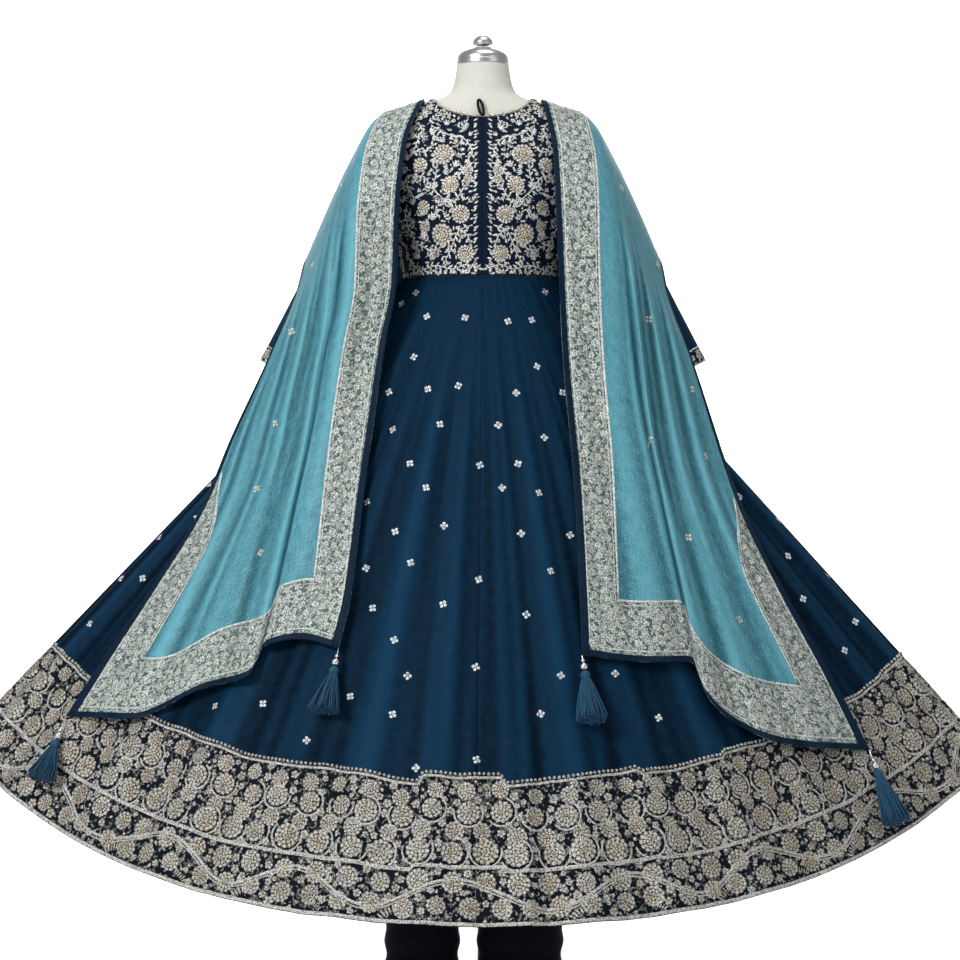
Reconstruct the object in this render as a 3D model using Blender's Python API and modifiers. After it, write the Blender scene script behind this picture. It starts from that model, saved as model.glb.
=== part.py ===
"""Anarkali suit worn by a limbless dress form on a stand.

The long flared dress, its trousers and its scarf are thin walls of cloth with their
true hollows. The back of the suit faces -Y, and left means the wearer's left, at -X.
Metres, +Z up. The origin is the centre of the flat underside of the stand's base.
"""

import math
from typing import NamedTuple

import bmesh
import bpy
from mathutils import Vector

# Cloth and clearances
DRESS_CLOTH = 0.0015
SCARF_CLOTH = 0.0013
SEAM_GAP = 0.0003
BODICE_EASE = 0.0042
FORM_INSET = 0.0012
FORM_SIDES = 26

# Heights
NECK_TOP = 1.690
NECK_SIDE = 1.6255
BACK_NECK = 1.591
FRONT_NECK = 1.545
SHOULDER_SLOPE = 1.608
SHOULDER_TIP = 1.590
ARMPIT = 1.460
EMPIRE_SEAM = 1.322
TROUSER_WAIST = 1.165
CROTCH = 0.800
TROUSER_HEM = 0.100
FORM_BOTTOM = 0.822

# Skirt: an umbrella cut spread wide to both sides
SKIRT_LENGTH = 1.103
HEM_HALF_WIDTH = 0.889
HEM_HALF_DEPTH = 0.502
HEM_SIDE_ROUND = 0.25
HEM_SIDE_POWER = 2.42
HEM_SWAY = -0.012
BORDER_TOP = 0.787
BORDER_LINE = 0.918

# Bodice
BODICE_COLUMNS = 7
PLACKET_BEARING = 0.0755
PLACKET_CLOTH = 0.0012
NECK_BINDING_RADIUS = 0.0021

# Stand
POLE_RADIUS = 0.0095
BASE_RADIUS = 0.190
BASE_THICKNESS = 0.012
SOCKET_TOP = 0.046

# Sleeves
ARMHOLE_SPREAD = math.radians(28)
SLEEVE_LEAN = math.radians(27)
CUFF_RADIUS = 0.044
CUFF_OUTER = (0.387, 0.040, 1.184)
CUFF_START = 0.935

# Scarf
BINDING_WIDTH = 0.015
RIDGE_WIDTH = 0.364
SCARF_HEM_WIDTH = 0.620
SCARF_OFF_SKIRT = 0.005
SCARF_OFF_BODICE = 0.0068
SCARF_SOFTNESS = 0.008


class BodyRing(NamedTuple):
    """A level ring of the dress form."""

    height: float
    half_width: float
    half_depth: float


BODY = (
    BodyRing(NECK_TOP, 0.0450, 0.0450),
    BodyRing(1.660, 0.0500, 0.0500),
    BodyRing(1.640, 0.0610, 0.0560),
    BodyRing(1.6255, 0.0930, 0.0610),
    BodyRing(SHOULDER_SLOPE, 0.1380, 0.0660),
    BodyRing(1.590, 0.1690, 0.0720),
    BodyRing(1.560, 0.1755, 0.0830),
    BodyRing(1.500, 0.1700, 0.1010),
    BodyRing(1.440, 0.1600, 0.1120),
    BodyRing(1.380, 0.1430, 0.1070),
    BodyRing(1.322, 0.1300, 0.0990),
    BodyRing(1.200, 0.1230, 0.0930),
    BodyRing(TROUSER_WAIST, 0.1290, 0.0970),
    BodyRing(1.120, 0.1430, 0.1060),
    BodyRing(1.070, 0.1570, 0.1140),
    BodyRing(0.960, 0.1720, 0.1200),
    BodyRing(0.860, 0.1640, 0.1150),
    BodyRing(FORM_BOTTOM, 0.1500, 0.1050),
)


class SkirtFold(NamedTuple):
    """A soft fold of the skirt: its bearing, height at the hem and half spread."""

    bearing: float
    depth: float
    spread: float


BACK_FOLDS = (
    SkirtFold(12, 0.012, 5.5),
    SkirtFold(24, 0.009, 5.0),
    SkirtFold(36, 0.013, 6.0),
    SkirtFold(48, 0.009, 5.0),
    SkirtFold(59, 0.012, 5.0),
    SkirtFold(69, 0.010, 4.5),
    SkirtFold(78, 0.014, 4.5),
    SkirtFold(86, 0.008, 4.0),
    SkirtFold(95, 0.012, 4.5),
    SkirtFold(104, 0.015, 4.5),
    SkirtFold(114, 0.009, 5.0),
    SkirtFold(125, 0.013, 5.5),
    SkirtFold(137, 0.010, 5.5),
    SkirtFold(150, 0.013, 6.0),
    SkirtFold(164, 0.011, 6.0),
)

FRONT_FOLDS = (
    SkirtFold(195, 0.012, 6.0),
    SkirtFold(208, 0.010, 6.0),
    SkirtFold(221, 0.014, 6.0),
    SkirtFold(233, 0.009, 5.5),
    SkirtFold(245, 0.012, 5.0),
    SkirtFold(255, 0.010, 4.5),
    SkirtFold(264, 0.013, 4.5),
    SkirtFold(274, 0.009, 4.5),
    SkirtFold(284, 0.014, 4.5),
    SkirtFold(294, 0.010, 5.0),
    SkirtFold(305, 0.012, 5.5),
    SkirtFold(317, 0.009, 5.5),
    SkirtFold(330, 0.013, 6.0),
    SkirtFold(344, 0.011, 6.0),
)


class EdgePoint(NamedTuple):
    """A point along an edge of the scarf: share of the way, distance out, depth, height."""

    share: float
    out: float
    depth: float
    height: float


class ScarfEnd(NamedTuple):
    """The edges of one hanging end of the scarf, the outer edge and ridge shared."""

    inner: tuple
    outer: tuple
    hem: tuple
    folds: tuple


class ScarfFold(NamedTuple):
    """A long fold of a scarf end: place across at top and hem, height, half spread."""

    at_top: float
    at_hem: float
    depth: float
    spread: float


RIDGE = (
    EdgePoint(0.00, 0.100, 0.000, 1.6310),
    EdgePoint(0.12, 0.140, 0.000, 1.6190),
    EdgePoint(0.20, 0.170, 0.000, 1.6090),
    EdgePoint(0.28, 0.192, 0.001, 1.5900),
    EdgePoint(0.41, 0.217, 0.004, 1.5480),
    EdgePoint(0.64, 0.254, 0.010, 1.4750),
    EdgePoint(1.00, 0.308, 0.014, 1.3520),
)

LEFT_END = ScarfEnd(
    inner=(
        EdgePoint(0.00, 0.100, -0.062, 1.6310),
        EdgePoint(0.09, 0.128, -0.086, 1.5520),
        EdgePoint(0.20, 0.139, -0.124, 1.4460),
        EdgePoint(0.34, 0.143, -0.138, 1.3110),
        EdgePoint(0.47, 0.164, -0.150, 1.1940),
        EdgePoint(0.70, 0.192, -0.209, 0.9780),
        EdgePoint(0.91, 0.213, -0.286, 0.7850),
        EdgePoint(1.00, 0.231, -0.312, 0.7090),
    ),
    outer=(
        EdgePoint(0.00, 0.308, -0.026, 1.3520),
        EdgePoint(0.04, 0.313, -0.030, 1.3230),
        EdgePoint(0.08, 0.321, -0.032, 1.2910),
        EdgePoint(0.23, 0.371, -0.046, 1.1720),
        EdgePoint(0.40, 0.431, -0.040, 1.0450),
        EdgePoint(0.55, 0.479, -0.058, 0.9270),
        EdgePoint(0.72, 0.562, -0.087, 0.7910),
        EdgePoint(0.86, 0.629, -0.102, 0.6900),
        EdgePoint(1.00, 0.696, -0.121, 0.5830),
    ),
    hem=(
        EdgePoint(0.00, 0.231, 0.0, 0.7090),
        EdgePoint(0.14, 0.294, 0.0, 0.7220),
        EdgePoint(0.28, 0.352, 0.0, 0.7100),
        EdgePoint(0.38, 0.376, 0.0, 0.6650),
        EdgePoint(0.56, 0.463, 0.0, 0.6360),
        EdgePoint(0.79, 0.580, 0.0, 0.5860),
        EdgePoint(1.00, 0.696, 0.0, 0.5830),
    ),
    folds=(
        ScarfFold(0.22, 0.24, 0.012, 0.11),
        ScarfFold(0.42, 0.40, 0.020, 0.10),
        ScarfFold(0.60, 0.60, 0.012, 0.10),
        ScarfFold(0.78, 0.80, 0.010, 0.10),
    ),
)

RIGHT_END = ScarfEnd(
    inner=(
        EdgePoint(0.00, 0.100, -0.062, 1.6310),
        EdgePoint(0.10, 0.118, -0.088, 1.5350),
        EdgePoint(0.20, 0.122, -0.124, 1.4460),
        EdgePoint(0.34, 0.127, -0.140, 1.3110),
        EdgePoint(0.46, 0.132, -0.152, 1.1940),
        EdgePoint(0.69, 0.148, -0.223, 0.9760),
        EdgePoint(0.90, 0.155, -0.301, 0.7840),
        EdgePoint(1.00, 0.157, -0.334, 0.7000),
    ),
    outer=(
        EdgePoint(0.00, 0.308, -0.026, 1.3520),
        EdgePoint(0.04, 0.312, -0.030, 1.3220),
        EdgePoint(0.07, 0.316, -0.032, 1.2960),
        EdgePoint(0.22, 0.360, -0.046, 1.1720),
        EdgePoint(0.40, 0.408, -0.045, 1.0250),
        EdgePoint(0.53, 0.444, -0.077, 0.9170),
        EdgePoint(0.71, 0.514, -0.112, 0.7740),
        EdgePoint(0.85, 0.579, -0.136, 0.6540),
        EdgePoint(1.00, 0.639, -0.164, 0.5310),
    ),
    hem=(
        EdgePoint(0.00, 0.157, 0.0, 0.7000),
        EdgePoint(0.20, 0.251, 0.0, 0.6870),
        EdgePoint(0.37, 0.335, 0.0, 0.6840),
        EdgePoint(0.47, 0.357, 0.0, 0.6340),
        EdgePoint(0.60, 0.415, 0.0, 0.5800),
        EdgePoint(0.76, 0.501, 0.0, 0.5480),
        EdgePoint(1.00, 0.639, 0.0, 0.5310),
    ),
    folds=(
        ScarfFold(0.24, 0.26, 0.010, 0.11),
        ScarfFold(0.44, 0.49, 0.020, 0.10),
        ScarfFold(0.62, 0.68, 0.012, 0.09),
        ScarfFold(0.80, 0.84, 0.010, 0.09),
    ),
)

# Scarf mesh
SCARF_COLUMNS = 20
SCARF_ROWS = 13
SCARF_FALL = 0.86
RIDGE_ROLL = 0.10
NEAR_RIDGE = 0.001
BINDING_GAP = 0.0020

# Front stretch of the scarf: where its two edges hang lowest, on the centre line
SWAG_TOP = (0.152, 1.430)
SWAG_BOTTOM = (0.262, 1.060)
SWAG_FOLDS = ((0.14, 0.016, 0.10), (0.33, 0.012, 0.09), (0.54, 0.019, 0.11), (0.76, 0.014, 0.10))

# Tassels
BEAD_RADIUS = 0.0065
TASSEL_HEAD = 0.0085
TASSEL_SPREAD = 0.025
STRAND_GAP = 0.0004

# Loop of the zip's pull
LOOP_FOOT = 0.0032
LOOP_HEIGHT = 0.0275
LOOP_HALF_WIDTH = 0.0040
LOOP_LEAN = 0.22
LOOP_RADIUS = 0.0018

LEFT = -1
RIGHT = 1
SIDE_NAME = {LEFT: "left", RIGHT: "right"}


class Corner(NamedTuple):
    """A tasselled corner: side, name, place across the hem, thread and tassel lengths."""

    side: int
    name: str
    across: float
    thread: float
    length: float


CORNERS = (
    Corner(LEFT, "inner", 0.0, 0.024, 0.066),
    Corner(LEFT, "outer", 1.0, 0.036, 0.060),
    Corner(RIGHT, "inner", 0.0, 0.020, 0.074),
    Corner(RIGHT, "outer", 1.0, 0.028, 0.084),
)


class Finish(NamedTuple):
    """Colour, roughness and metallic value of a material."""

    name: str
    colour: tuple
    roughness: float
    metallic: float


NAVY = Finish("navy_georgette", (0.010, 0.040, 0.085), 0.75, 0.0)
ZARI = Finish("embroidered_navy", (0.270, 0.245, 0.190), 0.55, 0.2)
TEAL = Finish("teal_silk", (0.075, 0.290, 0.370), 0.55, 0.0)
BINDING = Finish("navy_binding", (0.010, 0.030, 0.065), 0.70, 0.0)
TROUSER = Finish("dark_navy_cotton", (0.006, 0.012, 0.030), 0.80, 0.0)
LINEN = Finish("form_cover", (0.800, 0.780, 0.730), 0.80, 0.0)
STEEL = Finish("brushed_steel", (0.520, 0.520, 0.530), 0.32, 1.0)
BEAD = Finish("silver_bead", (0.600, 0.600, 0.600), 0.28, 1.0)
THREAD = Finish("blue_tassel_thread", (0.020, 0.085, 0.190), 0.70, 0.0)
BASE = Finish("painted_base", (0.700, 0.700, 0.690), 0.40, 0.0)


def along(rows, key, column):
    """Read a column of a table at a value of its first column, on a smooth curve."""
    if rows[0][0] > rows[-1][0]:
        rows = rows[::-1]
    keys = [row[0] for row in rows]
    values = [row[column] for row in rows]
    last = len(rows) - 1
    if key <= keys[0]:
        return values[0]
    if key >= keys[last]:
        return values[last]
    index = next(i for i in range(last) if key <= keys[i + 1])
    slopes = [(values[i + 1] - values[i]) / (keys[i + 1] - keys[i]) for i in range(last)]

    def tangent(i):
        if i == 0:
            return slopes[0]
        if i == last:
            return slopes[-1]
        before, after = slopes[i - 1], slopes[i]
        if before * after <= 0.0:
            return 0.0
        return 2.0 * before * after / (before + after)

    span = keys[index + 1] - keys[index]
    t = (key - keys[index]) / span
    return (
        values[index] * (2 * t**3 - 3 * t**2 + 1)
        + values[index + 1] * (3 * t**2 - 2 * t**3)
        + tangent(index) * span * (t**3 - 2 * t**2 + t)
        + tangent(index + 1) * span * (t**3 - t**2)
    )


def smooth(value):
    """Ease from 0 to 1, flat at both ends."""
    value = min(1.0, max(0.0, value))
    return value * value * (3.0 - 2.0 * value)


def hump(distance, spread):
    """A round hump, 1 at its middle and 0 at its spread."""
    if abs(distance) >= spread:
        return 0.0
    return 0.5 + 0.5 * math.cos(math.pi * distance / spread)


def normal_of(surface, u, v, step=0.0005):
    """Unit normal of a surface from points either side of (u, v)."""
    across = surface(u + step, v) - surface(u - step, v)
    down = surface(u, v + step) - surface(u, v - step)
    return across.cross(down).normalized()


def body(bearing, height):
    """Point of the dress form at a bearing (0 at +X, 90 degrees at the back)."""
    half_width = along(BODY, height, 1)
    half_depth = along(BODY, height, 2)
    return Vector((half_width * math.cos(bearing), -half_depth * math.sin(bearing), height))


def form_skin(bearing, height):
    """Skin of the dress form, set in so that the cloth's flat facets clear it."""
    point = body(bearing, height)
    inset = FORM_INSET if height < 1.65 else 0.0
    return Vector((point.x - inset * math.cos(bearing), point.y + inset * math.sin(bearing), height))


def bodice(bearing, height):
    """Outer skin of the bodice, resting on the shoulders and eased below them."""
    step = 0.001
    around = body(bearing + step, height) - body(bearing - step, height)
    down = body(bearing, height - step) - body(bearing, height + step)
    outward = around.cross(down).normalized()
    ease = BODICE_EASE * smooth((SHOULDER_TIP + 0.01 - height) / 0.10)
    return body(bearing, height) + outward * (SEAM_GAP + ease + DRESS_CLOTH)


def neckline(bearing):
    """Height of the neckline at a bearing: round behind, deeper in front."""
    rise = smooth(abs(math.cos(bearing)))
    low = BACK_NECK if math.sin(bearing) >= 0.0 else FRONT_NECK
    return low + (NECK_SIDE - low) * rise


def armhole_bearing(height):
    """How far round from the side the armhole reaches at a height."""
    middle = 0.5 * (SHOULDER_TIP + ARMPIT)
    reach = 0.5 * (SHOULDER_TIP - ARMPIT)
    share = 1.0 - ((height - middle) / reach) ** 2
    return ARMHOLE_SPREAD * math.sqrt(share) if share > 0.0 else 0.0


def bodice_rows():
    """Shares of the height from seam to neck, with a row at each knot of the armhole."""
    foot = EMPIRE_SEAM + SEAM_GAP
    middle = 0.5 * (SHOULDER_TIP + ARMPIT)
    reach = 0.5 * (SHOULDER_TIP - ARMPIT)
    knots = [middle + reach * math.sin(math.radians(a)) for a in range(-90, 91, 30)]
    heights = [foot, 0.5 * (foot + ARMPIT)] + knots + [SHOULDER_SLOPE, NECK_SIDE]
    return [(height - foot) / (NECK_SIDE - foot) for height in heights]


def bodice_back(side, inset=0.0):
    """Surface of one back half: u from the centre to the side, v from seam to neck."""

    def surface(u, v):
        centre = 0.5 * math.pi - inset
        gap = SEAM_GAP / 0.13
        height = EMPIRE_SEAM + SEAM_GAP
        bearing = centre - u * (centre - gap)
        edge = max(gap, armhole_bearing(height + v * (NECK_SIDE - height)))
        height += v * (neckline(bearing) - height)
        bearing = centre - u * (centre - edge)
        point = bodice(bearing, height)
        return Vector((side * point.x, point.y, point.z))

    return surface


def bodice_front(u, v):
    """Surface of the front: u from one side to the other, v from seam to neck."""
    side = 1.0 if u < 0.5 else -1.0
    share = abs(2.0 * u - 1.0)
    gap = SEAM_GAP / 0.13
    height = EMPIRE_SEAM + SEAM_GAP
    bearing = 0.5 * math.pi - share * (0.5 * math.pi - gap)
    edge = max(gap, armhole_bearing(height + v * (NECK_SIDE - height)))
    height += v * (neckline(-bearing) - height)
    bearing = 0.5 * math.pi - share * (0.5 * math.pi - edge)
    point = bodice(-bearing, height)
    return Vector((side * point.x, point.y, point.z))


def waist_ring(bearing):
    """Where the skirt is sewn to the bodice."""
    return bodice(bearing, EMPIRE_SEAM)


def hem_ring(bearing):
    """Hem of the skirt: its plan, at the height that the cut's length gives."""
    rise = abs(math.sin(bearing))
    depth = HEM_SIDE_ROUND * rise + (1.0 - HEM_SIDE_ROUND) * rise**HEM_SIDE_POWER
    x = HEM_SWAY + HEM_HALF_WIDTH * math.cos(bearing)
    y = -math.copysign(HEM_HALF_DEPTH * depth, math.sin(bearing))
    start = waist_ring(bearing)
    reach = math.hypot(x - start.x, y - start.y)
    return Vector((x, y, EMPIRE_SEAM - math.sqrt(SKIRT_LENGTH**2 - reach**2)))


def cone(bearing, share):
    """The skirt without its folds, straight from the seam to the hem."""
    return waist_ring(bearing).lerp(hem_ring(bearing), share)


def skirt_fold(bearing, share):
    """Height of the folds over the plain skirt."""
    degrees = math.degrees(bearing) % 360.0
    height = 0.0
    for fold in BACK_FOLDS + FRONT_FOLDS:
        height = max(height, fold.depth * hump(degrees - fold.bearing, fold.spread))
    return height * smooth(share / 0.35) * (0.35 + 0.65 * share)


def skirt(bearing, share):
    """Outer skin of the skirt with its folds."""
    outward = normal_of(cone, bearing, share)
    return cone(bearing, share) + outward * skirt_fold(bearing, share)


def skirt_depth(x, height):
    """How far back the plain skirt reaches at a place seen from behind, or None."""
    low, high = 0.0, math.pi

    def point(bearing):
        top, end = waist_ring(bearing), hem_ring(bearing)
        return top.lerp(end, (top.z - height) / (top.z - end.z))

    if height >= EMPIRE_SEAM or not point(high).x < x < point(low).x:
        return None
    for _ in range(36):
        middle = 0.5 * (low + high)
        if point(middle).x > x:
            low = middle
        else:
            high = middle
    return point(low).y


def bodice_depth(x, height):
    """How far back the bodice reaches at a place seen from behind, or None."""
    room = BODICE_EASE * smooth((SHOULDER_TIP + 0.01 - height) / 0.10) + SCARF_OFF_BODICE
    half_width = along(BODY, height - SCARF_OFF_BODICE, 1) + room
    half_depth = along(BODY, height - SCARF_OFF_BODICE, 2) + room
    if height < EMPIRE_SEAM or abs(x) >= half_width:
        return None
    return -half_depth * math.sqrt(1.0 - (x / half_width) ** 2)


def roll(value):
    """Rise from 0 to 1 as a quarter circle does, steep first and then level."""
    value = min(1.0, max(0.0, value))
    return math.sqrt(value * (2.0 - value))


def scarf_inset(share):
    """Width of the binding as a share of the scarf's width at a share of its fall."""
    return BINDING_WIDTH / (RIDGE_WIDTH + (SCARF_HEM_WIDTH - RIDGE_WIDTH) * share)


def rest_on(depth, support):
    """Bring a depth to lie on or behind a support, with a soft change between them."""
    if support is None:
        return depth
    difference = depth - support
    return 0.5 * (depth + support - math.sqrt(difference**2 + SCARF_SOFTNESS**2))


def scarf_end(side, end):
    """Surface of one hanging end: u from the inner edge out, v from ridge to hem."""

    def flat(u, v, column):
        corner_in = along(end.inner, 1.0, column)
        corner_out = along(end.outer, 1.0, column)
        top = along(RIDGE, u, column)
        low = along(end.hem, u, column)
        inner = along(end.inner, v, column)
        outer = along(end.outer, v, column)
        ridge_in = along(RIDGE, 0.0, column)
        ridge_out = along(RIDGE, 1.0, column)
        edges = (1 - v) * top + v * low + (1 - u) * inner + u * outer
        corners = (1 - u) * ((1 - v) * ridge_in + v * corner_in)
        corners += u * ((1 - v) * ridge_out + v * corner_out)
        return edges - corners

    def surface(u, v):
        height = flat(u, v, 3)
        out = flat(u, v, 1)
        roundness = 1.0 - smooth((v - 0.35) / 0.35)
        inner_y = along(end.inner, v, 2)
        outer_y = along(end.outer, v, 2)
        arc = math.cos(0.5 * math.pi * u)
        depth = outer_y + (inner_y - outer_y) * (roundness * arc + (1.0 - roundness) * (1.0 - u))
        ridge_y = along(RIDGE, u, 2)
        depth = ridge_y + (depth - ridge_y) * roll(v / RIDGE_ROLL) - 0.5 * SEAM_GAP
        if v > NEAR_RIDGE:
            depth = rest_on(depth, bodice_depth(out, height))
        behind = skirt_depth(side * out, height)
        if behind is not None:
            depth = rest_on(depth, behind - SCARF_OFF_SKIRT - skirt_clear(height))
        rise = 0.0
        for fold in end.folds:
            place = fold.at_top + (fold.at_hem - fold.at_top) * v
            rise = max(rise, fold.depth * hump(u - place, fold.spread))
        depth -= rise * smooth((v - 0.06) / 0.3)
        return Vector((side * out, depth, height))

    return surface


def skirt_clear(height):
    """Room above the plain skirt for its folds at a height."""
    share = (EMPIRE_SEAM - height) / (EMPIRE_SEAM - 0.30)
    return 0.018 * smooth(share / 0.5)


def scarf_front(u, v):
    """Front stretch: u from the neck edge to the lower edge, v from left to right."""
    q = 2.0 * v - 1.0
    across = abs(q)
    out = along(RIDGE, u, 1)
    ridge_y = along(RIDGE, u, 2)
    ridge_z = along(RIDGE, u, 3)
    middle_y = SWAG_TOP[0] + (SWAG_BOTTOM[0] - SWAG_TOP[0]) * u
    middle_z = SWAG_TOP[1] + (SWAG_BOTTOM[1] - SWAG_TOP[1]) * u
    y = ridge_y + (middle_y - ridge_y) * math.sqrt(max(0.0, 1.0 - across**3.0)) + 0.5 * SEAM_GAP
    z = middle_z + (ridge_z - middle_z) * across**1.7
    rise = max(depth * hump(u - place, spread_out) for place, depth, spread_out in SWAG_FOLDS)
    y += rise * (1.0 - across**2)
    return Vector((q * out, y, z))


def armhole(side, angle):
    """Point of the bodice round the armhole: 90 degrees at the shoulder tip."""
    middle = 0.5 * (SHOULDER_TIP + ARMPIT)
    reach = 0.5 * (SHOULDER_TIP - ARMPIT)
    height = middle + reach * math.sin(angle)
    point = bodice(ARMHOLE_SPREAD * math.cos(angle), height)
    return Vector((side * (point.x + 2.0 * SEAM_GAP), point.y, point.z))


def sleeve(side):
    """Outer skin of a sleeve: u round it, v from the armhole to the wrist edge."""
    outward = Vector((side * math.cos(SLEEVE_LEAN), 0.0, math.sin(SLEEVE_LEAN)))
    outer = Vector((side * CUFF_OUTER[0], CUFF_OUTER[1], CUFF_OUTER[2]))
    wrist = outer - outward * CUFF_RADIUS

    def surface(u, v):
        angle = 2.0 * math.pi * u
        cuff = wrist + outward * (CUFF_RADIUS * math.sin(angle))
        cuff += Vector((0.0, -CUFF_RADIUS * math.cos(angle), 0.0))
        point = armhole(side, angle).lerp(cuff, v)
        crown = 0.014 * max(0.0, math.sin(angle)) * math.sin(math.pi * min(1.0, v / 0.6))
        point.x += side * crown
        return point

    return surface


def trouser_leg(side):
    """Outer skin of a leg: u round it, v from the crotch to the hem."""
    if side == LEFT:
        top_edges, hem_edges = (-0.172, -0.0135), (-0.170, -0.0396)
    else:
        top_edges, hem_edges = (-0.0115, 0.172), (-0.0115, 0.1376)

    def surface(u, v):
        angle = 2.0 * math.pi * u
        share = smooth(v)
        low = top_edges[0] + (hem_edges[0] - top_edges[0]) * share
        high = top_edges[1] + (hem_edges[1] - top_edges[1]) * share
        half_depth = 0.118 + (0.058 - 0.118) * share
        z = CROTCH - SEAM_GAP + (TROUSER_HEM - CROTCH) * v
        x = 0.5 * (low + high) + 0.5 * (high - low) * math.cos(angle)
        return Vector((x, -half_depth * math.sin(angle), z))

    return surface


def trouser_seat(u, v):
    """Outer skin of the seat: u round it, v its height."""
    ring = body(2.0 * math.pi * u, max(v, 0.96))
    room = SEAM_GAP + DRESS_CLOTH + 0.005 * smooth((TROUSER_WAIST - v) / 0.10)
    bearing = 2.0 * math.pi * u
    return Vector((ring.x + room * math.cos(bearing), ring.y - room * math.sin(bearing), v))


def make_material(finish):
    """Principled material of a finish, made once."""
    material = bpy.data.materials.get(finish.name)
    if material is None:
        material = bpy.data.materials.new(finish.name)
        material.use_nodes = True
        shader = material.node_tree.nodes["Principled BSDF"]
        shader.inputs["Base Color"].default_value = (*finish.colour, 1.0)
        shader.inputs["Roughness"].default_value = finish.roughness
        shader.inputs["Metallic"].default_value = finish.metallic
    return material


def add_object(name, mesh, finish):
    """Put a mesh in the suit's collection as a named part."""
    part = bpy.data.objects.new(name, mesh)
    part.data.materials.append(make_material(finish))
    bpy.data.collections[SUIT].objects.link(part)
    return part


def mesh_from(bm, name):
    """Close a bmesh into a smooth mesh with its faces out."""
    bmesh.ops.triangulate(bm, faces=bm.faces)
    bmesh.ops.recalc_face_normals(bm, faces=bm.faces)
    mesh = bpy.data.meshes.new(name)
    bm.to_mesh(mesh)
    bm.free()
    mesh.shade_smooth()
    mesh.set_sharp_from_angle(angle=math.radians(40))
    return mesh


def wall(name, surface, us, vs, finish, thickness, closed=False, offset=0.0, facing=1.0):
    """Cloth wall: an outer skin on a surface and an inner skin along the same normals.

    Both skins use the surface's own normals, so panels that share a seam meet squarely.
    """
    bm = bmesh.new()
    skins = []
    rows = [[(surface(u, v), facing * normal_of(surface, u, v)) for u in us] for v in vs]
    for lift in (offset, offset - thickness):
        skins.append([[bm.verts.new(p + n * lift) for p, n in row] for row in rows])
    outer, inner = skins
    across = len(us)
    steps = across if closed else across - 1
    for j in range(len(vs) - 1):
        for i in range(steps):
            k = (i + 1) % across
            for skin in (outer, inner):
                bm.faces.new((skin[j][i], skin[j][k], skin[j + 1][k], skin[j + 1][i]))
    for j in (0, len(vs) - 1):
        for i in range(steps):
            k = (i + 1) % across
            bm.faces.new((outer[j][i], outer[j][k], inner[j][k], inner[j][i]))
    if not closed:
        for i in (0, across - 1):
            for j in range(len(vs) - 1):
                bm.faces.new((outer[j][i], outer[j + 1][i], inner[j + 1][i], inner[j][i]))
    return add_object(name, mesh_from(bm, name), finish)


def spread(start, end, steps):
    """Even steps from start to end, both kept."""
    return [start + (end - start) * i / steps for i in range(steps + 1)]


def turned(name, profile, finish, steps=24, place=(0.0, 0.0, 0.0)):
    """Turned solid from a profile of (radius, height), top to bottom."""
    mesh = bpy.data.meshes.new(name)
    mesh.from_pydata([(r, 0.0, z) for r, z in profile], [(i, i + 1) for i in range(len(profile) - 1)], [])
    part = add_object(name, mesh, finish)
    screw = part.modifiers.new("turn", "SCREW")
    screw.steps = steps
    screw.render_steps = steps
    screw.use_merge_vertices = True
    screw.merge_threshold = 0.00005
    screw.use_smooth_shade = True
    part.location = place
    return part


def make_form():
    """Torso with neck, steel cap and knob, pole and base."""
    bm = bmesh.new()
    around = FORM_SIDES
    rings = []
    levels = [ring.height for ring in BODY]
    for height in levels:
        ring = [form_skin(2.0 * math.pi * i / around, height) for i in range(around)]
        rings.append([bm.verts.new(point) for point in ring])
    for upper, lower in zip(rings, rings[1:]):
        for i in range(around):
            k = (i + 1) % around
            bm.faces.new((upper[i], upper[k], lower[k], lower[i]))
    bm.faces.new(rings[0])
    bm.faces.new(rings[-1])
    add_object("form_torso", mesh_from(bm, "form_torso"), LINEN)

    rim = NECK_TOP + SEAM_GAP
    cap = [(0.0, rim + 0.0325), (0.012, rim + 0.0322)]
    cap += [
        (0.0447 * math.sin(a), rim + 0.011 + 0.0205 * math.cos(a))
        for a in (math.radians(25 + 16 * i) for i in range(5))
    ]
    cap += [(0.0455, rim + 0.004), (0.0455, rim), (0.0, rim)]
    turned("form_neck_cap", cap, STEEL, steps=22)

    seat = rim + 0.0325 + SEAM_GAP
    knob = [(0.0, seat + 0.0195)]
    knob += [
        (0.0180 * math.sin(a), seat + 0.0045 + 0.0150 * math.cos(a))
        for a in (math.radians(22.5 * i) for i in range(1, 5))
    ]
    knob += [(0.0165, seat + 0.0015), (0.0120, seat), (0.0, seat)]
    turned("form_neck_knob", knob, STEEL, steps=16)

    pole_top = FORM_BOTTOM - SEAM_GAP
    pole_foot = SOCKET_TOP + SEAM_GAP
    pole = [(0.0, pole_top), (POLE_RADIUS, pole_top), (POLE_RADIUS, pole_foot), (0.0, pole_foot)]
    turned("stand_pole", pole, STEEL, steps=16)

    base = [
        (0.0, SOCKET_TOP),
        (0.0150, SOCKET_TOP),
        (0.0190, SOCKET_TOP - 0.004),
        (0.0210, BASE_THICKNESS + 0.006),
        (0.0270, BASE_THICKNESS + 0.001),
        (0.1600, BASE_THICKNESS),
        (BASE_RADIUS - 0.003, BASE_THICKNESS - 0.003),
        (BASE_RADIUS, BASE_THICKNESS - 0.006),
        (BASE_RADIUS, 0.0),
        (0.0, 0.0),
    ]
    turned("stand_base", base, BASE, steps=32)


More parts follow.
